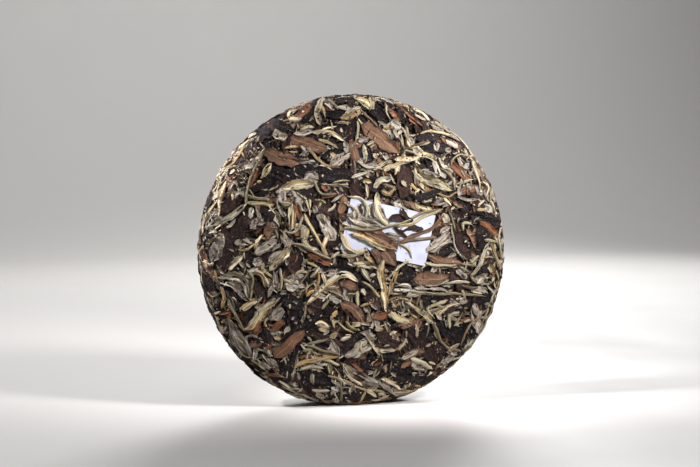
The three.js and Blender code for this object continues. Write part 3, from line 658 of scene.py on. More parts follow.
def creases(kind, along, across, rng):
    """Folds that run mostly along a leaf, sharp in their hollows, and a slow wave over its length."""
    height = 0.6 * np.sin(along * math.tau / rng.uniform(8, 20) + rng.uniform(0, math.tau))
    for _ in range(3):
        fold = along * rng.normal(0, 0.035) + across / rng.uniform(2.5, 6) + rng.uniform(0, 1)
        height = height + 0.6 - 1.2 * np.abs(np.cos(math.pi * fold))
    return kind["wrinkle"] * height


def section_height(kind, s, width, rng):
    """The height of a piece's top across it, and its thickness, for s from -1 to 1."""
    round_top = np.sqrt(np.maximum(1 - s**2, 0))
    if kind["form"] == "flat":
        left, right = rng.uniform(0, kind["curl"], 2)
        fold = rng.uniform(-0.5, 0.7) * min(width, 8) / 8
        top = 0.2 + np.where(s < 0, left, right) * s**2 + fold * (np.abs(s) - 0.5) * 0.7
        return top, round_top * LEAF_THICKNESS
    bulk = 0.36 if kind["form"] == "twig" else rng.uniform(0.16, 0.32)
    high = min(width * bulk, THICKEST_ROLL)
    top = 0.08 + high * round_top
    if kind["form"] == "rolled":
        groove = rng.uniform(-0.5, 0.5)
        top -= 0.55 * high * np.exp(-(((s - groove) / 0.22) ** 2)) * round_top
    return top, top - 0.02


# Listed pieces keep more of their shape than strewn ones. How deep either are torn, as a share of
# their kind's, the shares of the width that the ends of a flat leaf may have, and how square ends may be,
# as a share of their kind's
TORN = {"hand": 0.7, "strewn": 1}
END_WIDTHS = {"hand": (0.3, 0.6, 0.9), "strewn": (0.1, 0.4, 0.8)}
END_SQUARENESS = {"hand": (0.8, 1.6, 3.0), "strewn": (0.45, 1.0, 1.8)}

# The least width of a side, as a share of half the piece's width
NARROWEST = {"flat": 0.1, "rolled": 0.1, "twig": 0.5}

# How many times the bed under a piece is smoothed: the stiffer it is, the wider the hollows it bridges
STIFFNESS = {"flat": 4, "rolled": 7, "twig": 12}

# How deep the fine fraying of a side is, as a share of the width
FRAY = {"flat": 0.25, "rolled": 0.15, "twig": 0.05}

# In millimetres: the thickness of a flat leaf with its folds, and the height of the thickest roll
LEAF_THICKNESS = 0.35
THICKEST_ROLL = 1.4

# How far the ends of a piece dip towards its bed, in millimetres, over this share of its length
END_DIP = {"flat": 0.1, "rolled": 0.35, "twig": 0.35}
END_SHARE = 0.12

# A piece is lifted until this share of it clears what lies below by that many millimetres, but never
# further than the last. A broad leaf then clears it everywhere, a little more.
CLEAR_SHARE = 0.8
CLEARANCE = 0.06
HIGHEST_LIFT = 1.5
BROAD_CLEARANCE = 0.12

# A strip wider than a width between these, in millimetres, is a leaf lying open rather than a rolled one
WIDEST_ROLLS = (2.8, 5.6)
CRUMPLED = dict(form="flat", blunt=5.0, torn=0.5, wrinkle=0.45, curl=0.7)


def net_size(reach, width):
    """How many points a piece has along and across, for its reach and width in millimetres."""
    return int(np.clip(reach / 1.9 + 3, 5, 19)), int(np.clip(width / 1.3 + 3, 4, 11))


class Piece:
    """The points of one piece of tea on its sheet: top and underside, and its place on its own leaf."""

    def __init__(self, name, line, width, heights, side, rng, press, by_hand):
        kind = KINDS[name]
        if kind["form"] == "rolled" and width > rng.uniform(*WIDEST_ROLLS):
            kind = kind | CRUMPLED
        rows, columns = net_size(np.hypot(*np.diff(line, axis=0).T).sum(), width)
        axis, length = smooth_line(line, rows)
        t, s = np.linspace(0, 1, rows), np.linspace(-1, 1, columns)
        tangent = np.gradient(axis, axis=0)
        tangent /= np.maximum(np.hypot(*tangent.T), 1e-9)[:, None]
        normal = np.stack([-tangent[:, 1], tangent[:, 0]], -1)
        axis = axis + normal * soft_noise(rng, rows, 2)[:, None] * min(0.012 * length, 0.25)
        half = np.stack([torn_side(kind, t, rng, by_hand), torn_side(kind, t, rng, by_hand)]) * width / 2
        across = s[None, :] * np.where(s[None, :] < 0, half[0][:, None], half[1][:, None])
        slant = rng.normal(0, 0.3, 2)
        ragged = soft_noise(rng, columns, 0)[None, :] * 0.05 * width
        shift = np.abs(2 * t[:, None] - 1) ** 6 * (across * np.where(t < 0.5, *slant)[:, None] + ragged)
        u = axis[:, :1] + normal[:, :1] * across + tangent[:, :1] * shift
        v = axis[:, 1:] + normal[:, 1:] * across + tangent[:, 1:] * shift
        below = heights.read(side, u, v)
        bed = relax(below, STIFFNESS[kind["form"]])
        top, thick = section_height(kind, s, width, rng)
        along = t[:, None] * length + 0 * across
        twist = rng.uniform(-0.25, 0.25) * width / 5
        twist = twist * np.sin(math.pi * (t[:, None] * rng.uniform(0.6, 1.6))) * s
        ends = 1 - np.minimum(1, np.minimum(t, 1 - t) / END_SHARE)[:, None]
        high = bed + top[None, :] + creases(kind, along, across, rng) + twist - END_DIP[kind["form"]] * ends
        high += np.clip(np.quantile(below + CLEARANCE - high, CLEAR_SHARE), 0, HIGHEST_LIFT)
        self.clean = by_hand and name in BARE_KINDS and width > BROAD_LEAF
        if self.clean:
            high = relax(np.maximum(high, below + BROAD_CLEARANCE), 1)
        low = high - np.broadcast_to(thick, high.shape)
        self.u, self.v = u, v
        self.high, self.low = press(high), press(low)
        self.low = np.minimum(self.low, self.high - 0.01)
        self.side, self.part = side, kind["part"]
        tone = np.full(u.shape, rng.uniform(*kind["tones"]))
        self.grain = np.stack([along, s[None, :] + 0 * across, tone], -1)

    def cover(self, heights):
        """Marks the piece in the heights, finely enough to leave no cell out."""
        rows, columns = self.u.shape
        length = np.hypot(self.u[-1, 0] - self.u[0, 0], self.v[-1, 0] - self.v[0, 0]) + 1
        width = np.hypot(self.u[:, -1] - self.u[:, 0], self.v[:, -1] - self.v[:, 0]).max() + 0.5
        i = np.linspace(0, rows - 1, max(rows, int(1.6 * length / heights.MARK)))
        j = np.linspace(0, columns - 1, max(columns, int(width / heights.MARK)))
        low_i, low_j = np.minimum(i.astype(int), rows - 2), np.minimum(j.astype(int), columns - 2)
        fi, fj = (i - low_i)[:, None], (j - low_j)[None, :]

        def fine(values):
            a = values[low_i][:, low_j] * (1 - fi) + values[low_i + 1][:, low_j] * fi
            b = values[low_i][:, low_j + 1] * (1 - fi) + values[low_i + 1][:, low_j + 1] * fi
            return (a * (1 - fj) + b * fj).ravel()

        u, v = fine(self.u), fine(self.v)
        heights.raise_to(self.side, u, v, fine(self.high))
        if self.side == "face":
            heights.clean[heights.cells(u, v)] = self.clean


def shell_triangles(rows, columns):
    """Triangles of a closed shell: a top net, and an underside that shares the top's outer points."""
    top = np.arange(rows * columns).reshape(rows, columns)
    under = top.copy()
    under[1:-1, 1:-1] = rows * columns + np.arange((rows - 2) * (columns - 2)).reshape(rows - 2, columns - 2)
    faces = []
    for i in range(rows - 1):
        for j in range(columns - 1):
            flip = (i == 0 and j == columns - 2) or (i == rows - 2 and j == 0)
            for net, outward in ((top, True), (under, False)):
                a, b, c, d = net[i, j], net[i + 1, j], net[i + 1, j + 1], net[i, j + 1]
                pair = [(a, b, d), (b, c, d)] if flip else [(a, b, c), (a, c, d)]
                faces += [face if outward else face[::-1] for face in pair]
    return np.array(faces)


SHELLS = {}


def shell_of(rows, columns):
    """The same, worked out once for each size of net."""
    if (rows, columns) not in SHELLS:
        SHELLS[rows, columns] = shell_triangles(rows, columns)
    return SHELLS[rows, columns]


# How softly the leaves that the cake stands on are flattened, in millimetres
FOOT_SOFTNESS = 0.45


def settle(points):
    """Flattens what would reach below the floor, in millimetres, as the spot that the cake stands on."""
    points[..., 2] = FOOT_SOFTNESS * np.logaddexp(0, points[..., 2] / FOOT_SOFTNESS)
    return points


# ---------------------------------------------------------------- laying the tea

# The mould stops the leaves softly from this share of the ceiling upwards
PRESS_FROM = 0.7

# The ticket's points along its width and height, and those of the closer net that marks its heights
TICKET_NET = (46, 28)
TICKET_MARKS = (180, 110)

# How often the ticket's bed is smoothed, and how often it is then lifted clear of the tea below, by
# that many millimetres, and smoothed again
TICKET_SMOOTHING = 60
TICKET_LIFTS = 4
TICKET_LIFT_SMOOTHING = 5
TICKET_CLEARANCE = 0.25


class Layout:
    """All the pieces of the cake, in the order in which they are laid."""

    def __init__(self, sizes, leaves, ticket):
        self.surface = Surface(sizes, ticket)
        self.heights = Heights(self.surface)
        self.leaves, self.ticket = leaves, ticket
        self.rng = np.random.default_rng(SEED)
        self.pieces = []
        self.face_edge = (sizes.radius - sizes.shoulder) / MM
        self.ceiling = leaves.press / MM * CEILINGS["strewn"]
        self.strew_rim(leaves.rim_pieces, RIM_MIX, RIM_SIZE)
        self.strew_rim(leaves.rim_slivers, SLIVER_MIX)
        self.strew("face", leaves.face_pieces, FACE_MIX)
        self.strew("back", leaves.back_pieces, FACE_MIX)
        self.strew("face", leaves.face_slivers, SLIVER_MIX)
        self.strew("back", leaves.back_slivers, SLIVER_MIX)
        self.ceiling = leaves.press / MM * CEILINGS["wide"]
        self.lay_all(WIDE_LEAVES)
        self.ceiling = leaves.press / MM * CEILINGS["ticket"]
        self.paper = self.lay_ticket()
        self.ceiling = leaves.press / MM
        self.lay_all(ON_TICKET)
        self.lay_all(STRIPS)
        self.lay_all(CROSSING_LAST)
        self.strew("back", leaves.back_last_pieces, BACK_LAST_MIX)

    def press(self, height):
        """The mould stops the leaves softly at the present ceiling over the bed."""
        limit = self.ceiling
        start = PRESS_FROM * limit
        over = np.maximum(height - start, 0)
        return np.where(height < start, height, start + (limit - start) * np.tanh(over / (limit - start)))

    def lay(self, name, line, width, side, by_hand=False):
        """One piece, over all that lies there already."""
        piece = Piece(name, line, width, self.heights, side, self.rng, self.press, by_hand)
        piece.cover(self.heights)
        self.pieces.append(piece)

    def lay_all(self, table):
        """Lays a table of listed pieces one by one. One that has only its ends gets a slight bow."""
        for name, rows in table.items():
            for width, *places in rows:
                line = np.array(places, float).reshape(-1, 2)
                if len(line) == 2:
                    step = line[1] - line[0]
                    sag = np.array([-step[1], step[0]]) * self.rng.uniform(-0.08, 0.08)
                    line = np.array([line[0], (line[0] + line[1]) / 2 + sag, line[1]])
                spare = TORN_SPARE if KINDS[name]["form"] == "flat" else 1.0
                self.lay(name, line, width * spare, "face", by_hand=True)

    @staticmethod
    def line_at(middle, turn, length, bow):
        """The middle line of a strewn piece."""
        c, s = math.cos(turn), math.sin(turn)
        local = np.array([[-0.5, 0], [-0.2, 0.8 * bow], [0.2, 0.8 * bow], [0.5, 0]]) * [length, 1]
        return np.array(middle) + local @ np.array([[c, s], [-s, c]])

    def lowest(self, side, places):
        """Of some (u, v, turn, length), the one whose bed is lowest."""
        def level(place):
            u, v, turn, length = place
            steps = np.linspace(-0.4, 0.4, 5) * length
            return self.heights.read(side, u + steps * math.cos(turn), v + steps * math.sin(turn)).mean()
        return min(places, key=level)

    def draw_kind(self, mix, scale=1.0):
        """A kind out of a mix, with a length and a width."""
        name = self.rng.choice(list(mix), p=np.array(list(mix.values())) / sum(mix.values()))
        kind = KINDS[name]
        return name, self.rng.uniform(*kind["length"]) * scale, self.rng.uniform(*kind["width"]) * scale

    def strew(self, side, count, mix, tries=7):
        """Pieces over one face, each in the lowest of a few places."""
        for _ in range(count):
            name, length, width = self.draw_kind(mix)
            out = (self.face_edge + FACE_SPILL) * np.sqrt(self.rng.uniform(0, 1, tries))
            angle = self.rng.uniform(0, math.tau, tries)
            turns = self.rng.uniform(0, math.pi, tries)
            places = zip(out * np.cos(angle), out * np.sin(angle), turns, [length] * tries)
            u, v, turn, _ = self.lowest(side, list(places))
            bow = self.rng.normal(0, 0.09) * length
            self.lay(name, self.line_at((u, v), turn, length, bow), width, side)

    def strew_rim(self, count, mix, scale=1.0, tries=6):
        """Small pieces crowd the rim and shoulders, most of them lying along it."""
        middle = self.surface.total / 2
        for n in range(count):
            name, length, width = self.draw_kind(mix, scale)
            side = "face" if n % 2 else "back"
            out = middle - self.rng.uniform(*RIM_BAND, tries)
            angle = self.rng.uniform(0, math.tau, tries)
            turns = angle + math.pi / 2 + self.rng.normal(0, 0.55, tries)
            places = zip(out * np.cos(angle), out * np.sin(angle), turns, [length] * tries)
            u, v, turn, _ = self.lowest(side, list(places))
            bow = self.rng.normal(0, 0.05) * length
            self.lay(name, self.line_at((u, v), turn, length, bow), width, side)

    def lay_ticket(self):
        """The ticket's top and underside heights: it bridges the tea below and curls a little."""
        rows, columns = TICKET_NET
        u, v = ticket_grid(self.ticket, rows, columns)
        below = self.heights.read("face", u, v)
        bed = relax(below, TICKET_SMOOTHING)
        for _ in range(TICKET_LIFTS):
            bed = relax(np.maximum(bed, below + TICKET_CLEARANCE), TICKET_LIFT_SMOOTHING)
        t, s = np.linspace(-1, 1, rows)[:, None], np.linspace(-1, 1, columns)[None, :]
        waves = 0.12 * np.sin(2.2 * t + 1.3 * s) + 0.1 * np.sin(5 * s + 2 * t)
        bed += waves + 0.25 * np.maximum(0, t * -s - 0.6)
        high = self.press(bed)
        low = high - self.ticket.paper / MM
        sheet = np.stack([u, v, high, low])
        fine_i = np.linspace(0, rows - 1, TICKET_MARKS[0])
        fine_j = np.linspace(0, columns - 1, TICKET_MARKS[1])
        grid = [np.interp(fine_i, range(rows), row) for row in high.T]
        dense = np.array([np.interp(fine_j, range(columns), row) for row in np.array(grid).T])
        fine_u, fine_v = ticket_grid(self.ticket, *TICKET_MARKS)
        self.heights.raise_to("face", fine_u.ravel(), fine_v.ravel(), dense.ravel())
        return sheet

    def mesh_arrays(self, part):
        """Points, triangles and grain values of all the pieces of one part."""
        points, faces, grains, count = [], [], [], 0
        for piece in (p for p in self.pieces if p.part == part):
            rows, columns = piece.u.shape
            top = self.surface.wrap(piece.side, piece.u, piece.v, piece.high)
            under = self.surface.wrap(piece.side, piece.u, piece.v, piece.low)[1:-1, 1:-1]
            points += [top.reshape(-1, 3), under.reshape(-1, 3)]
            grains += [piece.grain.reshape(-1, 3), piece.grain[1:-1, 1:-1].reshape(-1, 3)]
            faces.append(shell_of(rows, columns) + count)
            count += rows * columns + (rows - 2) * (columns - 2)
        return settle(np.concatenate(points)) * MM, np.concatenate(faces), np.concatenate(grains)


LAYOUT = []


def layout():
    """The layout, worked out once for all the operators."""
    if not LAYOUT:
        settings = bpy.context.scene
        LAYOUT.append(Layout(settings.tea_cake_sizes, settings.tea_leaf_sizes, settings.tea_ticket_sizes))
    return LAYOUT[0]


def mesh_object(name, points, faces, material, grain=None, sharp=None):
    """An object at the origin with its place in its mesh."""
    mesh = bpy.data.meshes.new(name)
    mesh.vertices.add(len(points))
    mesh.vertices.foreach_set("co", np.asarray(points, np.float32).ravel())
    mesh.loops.add(faces.size)
    mesh.loops.foreach_set("vertex_index", faces.astype(np.int32).ravel())
    mesh.polygons.add(len(faces))
    mesh.polygons.foreach_set("loop_start", np.arange(0, faces.size, faces.shape[1], dtype=np.int32))
    mesh.polygons.foreach_set("use_smooth", np.ones(len(faces), bool))
    if grain is not None:
        attribute = mesh.attributes.new("grain", "FLOAT_VECTOR", "POINT")
        attribute.data.foreach_set("vector", np.asarray(grain, np.float32).ravel())
    mesh.update(calc_edges=True)
    if mesh.validate():
        raise RuntimeError(f"{name} has broken faces")
    if sharp is not None:
        mesh.set_sharp_from_angle(angle=math.radians(sharp))
    mesh.materials.append(material)
    thing = bpy.data.objects.new(name, mesh)
    bpy.context.scene.collection.objects.link(thing)
    return thing


# ---------------------------------------------------------------- finishes

def add(tree, kind, inputs=None, **settings):
    """A node with its settings, its inputs set to values or linked to other nodes' sockets."""
    node = tree.nodes.new(kind)
    for key, value in settings.items():
        setattr(node, key, value)
    for key, value in (inputs or {}).items():
        if isinstance(value, bpy.types.NodeSocket):
            tree.links.new(value, node.inputs[key])
        else:
            node.inputs[key].default_value = value
    return node


def new_material(name):
    """An empty material and its tree."""
    material = bpy.data.materials.new(name)
    material.use_nodes = True
    material.node_tree.nodes.clear()
    return material, material.node_tree


def ramp(tree, factor, stops):
    """A colour ramp through (place, linear colour) stops."""
    node = add(tree, "ShaderNodeValToRGB", {"Fac": factor})
    elements = node.color_ramp.elements
    while len(elements) > 1:
        elements.remove(elements[-1])
    for n, (place, value) in enumerate(stops):
        element = elements[0] if n == 0 else elements.new(place)
        element.position = place
        element.color = (*value[:3], 1)
    return node.outputs["Color"]


def mix_colour(tree, factor, first, second):
    """From the first colour to the second as the factor goes from 0 to 1."""
    node = add(tree, "ShaderNodeMix", data_type="RGBA")
    for socket, value in ((node.inputs[0], factor), (node.inputs[6], first), (node.inputs[7], second)):
        if isinstance(value, bpy.types.NodeSocket):
            tree.links.new(value, socket)
        else:
            socket.default_value = value
    return node.outputs[2]


def sum_of(tree, *values):
    """Adds sockets and numbers up, in turn."""
    total = values[0]
    for value in values[1:]:
        total = add(tree, "ShaderNodeMath", {0: total, 1: value}, operation="ADD").outputs[0]
    return total


def scaled(tree, value, low, high, new_low, new_high):
    """Maps low to high onto new_low to new_high, and stops there."""
    return add(tree, "ShaderNodeMapRange", {
        "Value": value, "From Min": low, "From Max": high, "To Min": new_low, "To Max": new_high}).outputs[0]


def tinted(tree, base, pattern, low, high, most, hex_code):
    """The base with a colour over it, none where the pattern is below low and most where it is above high."""
    return mix_colour(tree, scaled(tree, pattern, low, high, 0, most), base, colour(hex_code))


def noise(tree, vector, size, detail=2.0, rough=0.5):
    """Noise whose lumps are about `size` metres across."""
    lumps = add(tree, "ShaderNodeTexNoise", {
        "Vector": vector, "Scale": 1 / size, "Detail": detail, "Roughness": rough})
    return lumps.outputs["Fac"]


class LeafFinish:
    """A leaf material under way: where it is along and across its piece, and how tea leaves vary."""

    def __init__(self, name):
        self.material, self.tree = new_material(name)
        tree = self.tree
        self.place = add(tree, "ShaderNodeTexCoord").outputs["Object"]
        grain = add(tree, "ShaderNodeAttribute", attribute_name="grain").outputs["Vector"]
        parts = add(tree, "ShaderNodeSeparateXYZ", {0: grain})
        self.along, self.across, self.tone = parts.outputs
        self.edge = add(tree, "ShaderNodeMath", {0: self.across}, operation="ABSOLUTE").outputs[0]
        chance = add(tree, "ShaderNodeTexWhiteNoise", {"W": self.tone}, noise_dimensions="1D")
        self.chance = chance.outputs["Value"]

    def streaks(self, length, width, detail=2.0):
        """Noise drawn out along the leaf, in millimetres along it and in shares of its half width."""
        tree = self.tree
        long = add(tree, "ShaderNodeMath", {0: self.along, 1: length}, operation="DIVIDE").outputs[0]
        wide = add(tree, "ShaderNodeMath", {0: self.across, 1: width}, operation="DIVIDE").outputs[0]
        layer = add(tree, "ShaderNodeMath", {0: self.tone, 1: 97.0}, operation="MULTIPLY").outputs[0]
        vector = add(tree, "ShaderNodeCombineXYZ", {0: long, 1: wide, 2: layer}).outputs[0]
        streaks = add(tree, "ShaderNodeTexNoise", {"Vector": vector, "Scale": 1.0, "Detail": detail})
        return streaks.outputs["Fac"]

    def finish(self, base, roughness, bump, distance, specular, sheen=0.0):
        """Each piece is a little lighter or darker than the next, and darker at its margin, partly as a dried
        margin and partly as painted contact shadow.
        """
        tree = self.tree
        piece = scaled(tree, self.chance, 0, 1, 0.6, 1.15)
        # Darker towards the edge: partly a dried margin, partly painted shadow where the piece meets what
        # lies below
        margin_and_contact_shade = scaled(tree, self.edge, 0.7, 1.0, 1, 0.55)
        factor = add(tree, "ShaderNodeMath", {0: piece, 1: margin_and_contact_shade}, operation="MULTIPLY").outputs[0]
        base = add(tree, "ShaderNodeVectorMath", {0: base, "Scale": factor}, operation="SCALE").outputs[0]
        normal = add(tree, "ShaderNodeBump", {"Height": bump, "Distance": distance}).outputs[0]
        surface = add(tree, "ShaderNodeBsdfPrincipled", {
            "Base Color": base, "Roughness": roughness, "Normal": normal, "Specular IOR Level": specular,
            "Sheen Weight": sheen, "Sheen Roughness": 0.5, "IOR": 1.45})
        add(tree, "ShaderNodeOutputMaterial", {"Surface": surface.outputs[0]})
        return self.material


def dark_leaf_material(colours):
    """Oxidised leaf, pressed flat: nearly black, faintly glossy in parts, with paler veins and pale specks
    that are partly dust and partly painted glints.
    """
    finish = LeafFinish("oxidised_dark_leaf")
    tree = finish.tree
    base = ramp(tree, finish.tone, [
        (0.0, colours.darkest), (0.35, colour("#1d181b")), (0.6, colour("#241c1c")), (0.7, colours.plum),
        (1.0, colour("#3a2824"))])
    patches = noise(tree, finish.place, 5 * MM, 3)
    base = tinted(tree, base, patches, 0.55, 0.75, 0.45, "#382a28")
    # Pale specks: partly dust, partly painted glints of light on the dark leaf
    dust_and_glints = noise(tree, finish.place, 1.1 * MM, 3)
    base = tinted(tree, base, dust_and_glints, 0.56, 0.72, 0.45, "#77685c")
    veins = finish.streaks(6.0, 0.22)
    base = tinted(tree, base, veins, 0.6, 0.75, 0.35, "#5a4238")
    creases = noise(tree, finish.place, 1.6 * MM, 3)
    roughness = scaled(tree, creases, 0.3, 0.7, 0.55, 0.9)
    return finish.finish(base, roughness, sum_of(tree, creases, veins), 0.32 * MM, 0.13)


def brown_leaf_material(colours):
    """Dry brown leaf: matt, mottled, with a paler midrib and darker, rusty edges."""
    finish = LeafFinish("dry_brown_leaf")
    tree = finish.tree
    base = ramp(tree, finish.tone, [
        (0.0, colour("#5e4a40")), (0.25, colours.brown), (0.5, colour("#7c5c46")), (0.7, colours.rust),
        (1.0, colour("#774629"))])
    mottle = noise(tree, finish.place, 3.5 * MM, 4)
    base = mix_colour(tree, scaled(tree, mottle, 0.35, 0.7, 0.45, 0), base, colour("#4c3228"))
    specks = noise(tree, finish.place, 0.8 * MM, 1)
    base = tinted(tree, base, specks, 0.62, 0.75, 0.5, "#be9872")
    rib = scaled(tree, finish.edge, 0.03, 0.09, 0.55, 0)
    base = mix_colour(tree, rib, base, colour("#ad8b69"))
    base = tinted(tree, base, finish.edge, 0.75, 1.0, 0.5, "#5a3526")
    veins = finish.streaks(3.0, 0.3)
    return finish.finish(base, 0.68, sum_of(tree, veins, mottle), 0.25 * MM, 0.3)


def silver_leaf_material(colours):
    """The downy underside of a leaf: grey-beige, with fine hairs lying along it, a soft sheen, and painted
    shade darkening its folds.
    """
    finish = LeafFinish("downy_silver_leaf")
    tree = finish.tree
    base = ramp(tree, finish.tone, [
        (0.0, colour("#75645a")), (0.3, colours.silver), (0.55, colour("#a3998c")), (0.75, colour("#8d7b72")),
        (1.0, colour("#b5aa93"))])
    patches = noise(tree, finish.place, 2.6 * MM, 3)
    base = tinted(tree, base, patches, 0.5, 0.66, 0.6, "#6d5a4c")
    hairs = finish.streaks(5.0, 0.14, 3)
    base = tinted(tree, base, hairs, 0.48, 0.62, 0.8, "#d2cab8")
    # Painted shade: dark streaks where the leaf folds
    fold_shade = finish.streaks(9.0, 0.3)
    base = tinted(tree, base, fold_shade, 0.55, 0.63, 0.85, "#3b3029")
    return finish.finish(base, 0.72, sum_of(tree, hairs, fold_shade), 0.4 * MM, 0.3, 0.2)


def bud_material(colours):
    """Buds and curled strips: pale and silky, lined lengthwise by folded scales, golden along some sides.
    Their lengthwise lines are partly real and partly painted shade, their silky streaks are partly painted
    highlights, and their folds are darkened as painted shade.
    """
    finish = LeafFinish("silky_bud")
    tree = finish.tree
    base = ramp(tree, finish.tone, [
        (0.0, colours.cream), (0.1, colour("#d6bf8c")), (0.2, colour("#b7ab86")), (0.3, colour("#e0d7be")),
        (0.4, colour("#cbb689")), (0.42, colours.olive), (0.62, colour("#a2976d")), (0.72, colours.gold),
        (1.0, colour("#b5863f"))])
    # Darker lengthwise lines: partly the scales' own stripes, partly painted shadow lines
    stripes_and_shade_lines = finish.streaks(16.0, 0.2, 2)
    base = tinted(tree, base, stripes_and_shade_lines, 0.48, 0.56, 0.7, "#7d7047")
    # Pale streaks: partly silky down, partly painted highlights
    silk_and_highlights = finish.streaks(6.0, 0.12, 3)
    base = tinted(tree, base, silk_and_highlights, 0.52, 0.62, 0.7, "#e2dccc")
    blotch = noise(tree, finish.place, 6 * MM, 2)
    base = tinted(tree, base, blotch, 0.6, 0.7, 0.55, "#866441")
    one_side = scaled(tree, finish.across, 0.0, 0.5, 0, 1)
    some_buds = scaled(tree, finish.chance, 0.6, 0.65, 0, 0.75)
    gilt = add(tree, "ShaderNodeMath", {0: one_side, 1: some_buds}, operation="MULTIPLY")
    base = mix_colour(tree, gilt.outputs[0], base, colour("#b08845"))
    # Painted shade: dark streaks where the strip folds
    fold_shade = finish.streaks(11.0, 0.4, 2)
    base = tinted(tree, base, fold_shade, 0.56, 0.63, 0.85, "#3c3222")
    return finish.finish(base, 0.6, sum_of(tree, stripes_and_shade_lines, silk_and_highlights, fold_shade), 0.4 * MM, 0.35, 0.15)


def stem_material(colours):
    """Twigs: woody, ribbed lengthwise, from olive to brown-pink."""
    finish = LeafFinish("ribbed_stem")
    tree = finish.tree
    base = ramp(tree, finish.tone, [
        (0.0, colour("#5a4636")), (0.3, colours.stem), (0.6, colour("#7f7654")), (0.85, colour("#94806c")),
        (1.0, colour("#b2a587"))])
    ribs = finish.streaks(18.0, 0.3, 2)
    base = tinted(tree, base, ribs, 0.45, 0.62, 0.75, "#3d3025")
    pale = finish.streaks(9.0, 0.2, 2)
    base = tinted(tree, base, pale, 0.55, 0.7, 0.6, "#c9bc9d")
    return finish.finish(base, 0.62, sum_of(tree, ribs, pale), 0.35 * MM, 0.35)


def gap_shade_core_material():
    """What shows in the gaps: tea dust and leaf ends pressed hard, matt, dark brown with its darkest tones
    near black as painted shade for the gaps.
    """
    material, tree = new_material("pressed_tea_dust_and_gap_shade")
    place = add(tree, "ShaderNodeTexCoord").outputs["Object"]
    grains = noise(tree, place, 1.4 * MM, 4, 0.6)
    patches = noise(tree, place, 7 * MM, 2)
    mottle = sum_of(tree, grains, scaled(tree, patches, 0, 1, -0.25, 0.25))
    # The near-black lower stops are painted shade for the shadow in the gaps, over the dark brown of the dust
    base = ramp(tree, mottle, [
        (0.35, colour("#0d0b0c")), (0.55, colour("#221b18")), (0.66, colour("#463829")),
        (0.8, colour("#8d7a5e"))])
    normal = add(tree, "ShaderNodeBump", {"Height": grains, "Distance": 0.6 * MM}).outputs[0]
    surface = add(tree, "ShaderNodeBsdfPrincipled", {
        "Base Color": base, "Roughness": 0.85, "Normal": normal, "Specular IOR Level": 0.2})
    add(tree, "ShaderNodeOutputMaterial", {"Surface": surface.outputs[0]})
    return material


def crumb_material(colours):
    """Broken bits of every leaf: each crumb is one colour, from black to cream."""
    finish = LeafFinish("broken_tea_crumb")
    tree = finish.tree
    base = ramp(tree, finish.tone, [
        (0.0, colours.darkest), (0.25, colours.plum), (0.36, colours.brown), (0.48, colour("#6d5d4c")),
        (0.62, colours.silver), (0.78, colour("#a89a78")), (1.0, colours.cream)])
    grains = noise(tree, finish.place, 0.7 * MM, 2)
    base = tinted(tree, base, grains, 0.5, 0.75, 0.6, "#4a3c30")
    return finish.finish(base, 0.75, grains, 0.25 * MM, 0.25)


def paper_material(colours):
    """Thin uncoated paper, bluish white: faint fibres, and tea dust rubbed into it."""
    material, tree = new_material("thin_ticket_paper")
    place = add(tree, "ShaderNodeTexCoord").outputs["Object"]
    fibres = noise(tree, place, 0.9 * MM, 4, 0.7)
    clouds = noise(tree, place, 9 * MM, 2)
    paper = colours.paper[:] + (1,)
    base = tinted(tree, paper, clouds, 0.45, 0.8, 0.35, "#c3c6d2")
    base = tinted(tree, base, fibres, 0.66, 0.8, 0.4, "#a9a39a")
    normal = add(tree, "ShaderNodeBump", {"Height": fibres, "Distance": 0.06 * MM}).outputs[0]
    surface = add(tree, "ShaderNodeBsdfPrincipled", {
        "Base Color": base, "Roughness": 0.7, "Normal": normal, "Specular IOR Level": 0.3})
    add(tree, "ShaderNodeOutputMaterial", {"Surface": surface.outputs[0]})
    return material


def floor_material(colours):
    """A pale matt floor, plain, with a little unevenness in its gloss."""
    material, tree = new_material("pale_floor")
    place = add(tree, "ShaderNodeTexCoord").outputs["Object"]
    clouds = noise(tree, place, 0.12, 3)
    surface = add(tree, "ShaderNodeBsdfPrincipled", {
        "Base Color": colours.floor[:] + (1,), "Roughness": scaled(tree, clouds, 0.3, 0.7, 0.55, 0.7),
        "Specular IOR Level": 0.25})
    add(tree, "ShaderNodeOutputMaterial", {"Surface": surface.outputs[0]})
    return material


# ---------------------------------------------------------------- the pieces as objects

def own(thing, slot_name, *nodes):
    """Hands a finished piece to the frame."""
    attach(thing, "root")
    if nodes:
        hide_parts(*nodes)


class KindOperator:
    """Shared by the operators that make one kind of piece from the layout"""
    bl_options = {"REGISTER", "UNDO"}
    part = ""

    def execute(self, context):
        points, faces, grain = layout().mesh_arrays(self.part)
        material = self.material(context.scene.tea_colours)
        thing = mesh_object(self.part, points, faces, material, grain, sharp=50)
        own(thing, "pressed_tea", "tea_cake")
        return {"FINISHED"}


class TEA_OT_dark_leaves(KindOperator, bpy.types.Operator):
    """Lay the black leaves, flat and torn"""
    bl_idname = "tea.dark_leaves"
    bl_label = "Dark Leaves"
    part = "dark_leaves"
    material = staticmethod(dark_leaf_material)


class TEA_OT_plum_leaves(KindOperator, bpy.types.Operator):
    """Lay the dark leaves with a red cast, flat and torn"""
    bl_idname = "tea.plum_leaves"
    bl_label = "Plum Leaves"
    part = "plum_leaves"
    material = staticmethod(dark_leaf_material)


class TEA_OT_brown_leaves(KindOperator, bpy.types.Operator):
    """Lay the dry brown and rust-coloured leaves"""
    bl_idname = "tea.brown_leaves"
    bl_label = "Brown Leaves"
    part = "brown_leaves"
    material = staticmethod(brown_leaf_material)


class TEA_OT_silver_leaves(KindOperator, bpy.types.Operator):
    """Lay the leaves that show their downy grey undersides"""
    bl_idname = "tea.silver_leaves"
    bl_label = "Silver Leaves"
    part = "silver_leaves"
    material = staticmethod(silver_leaf_material)


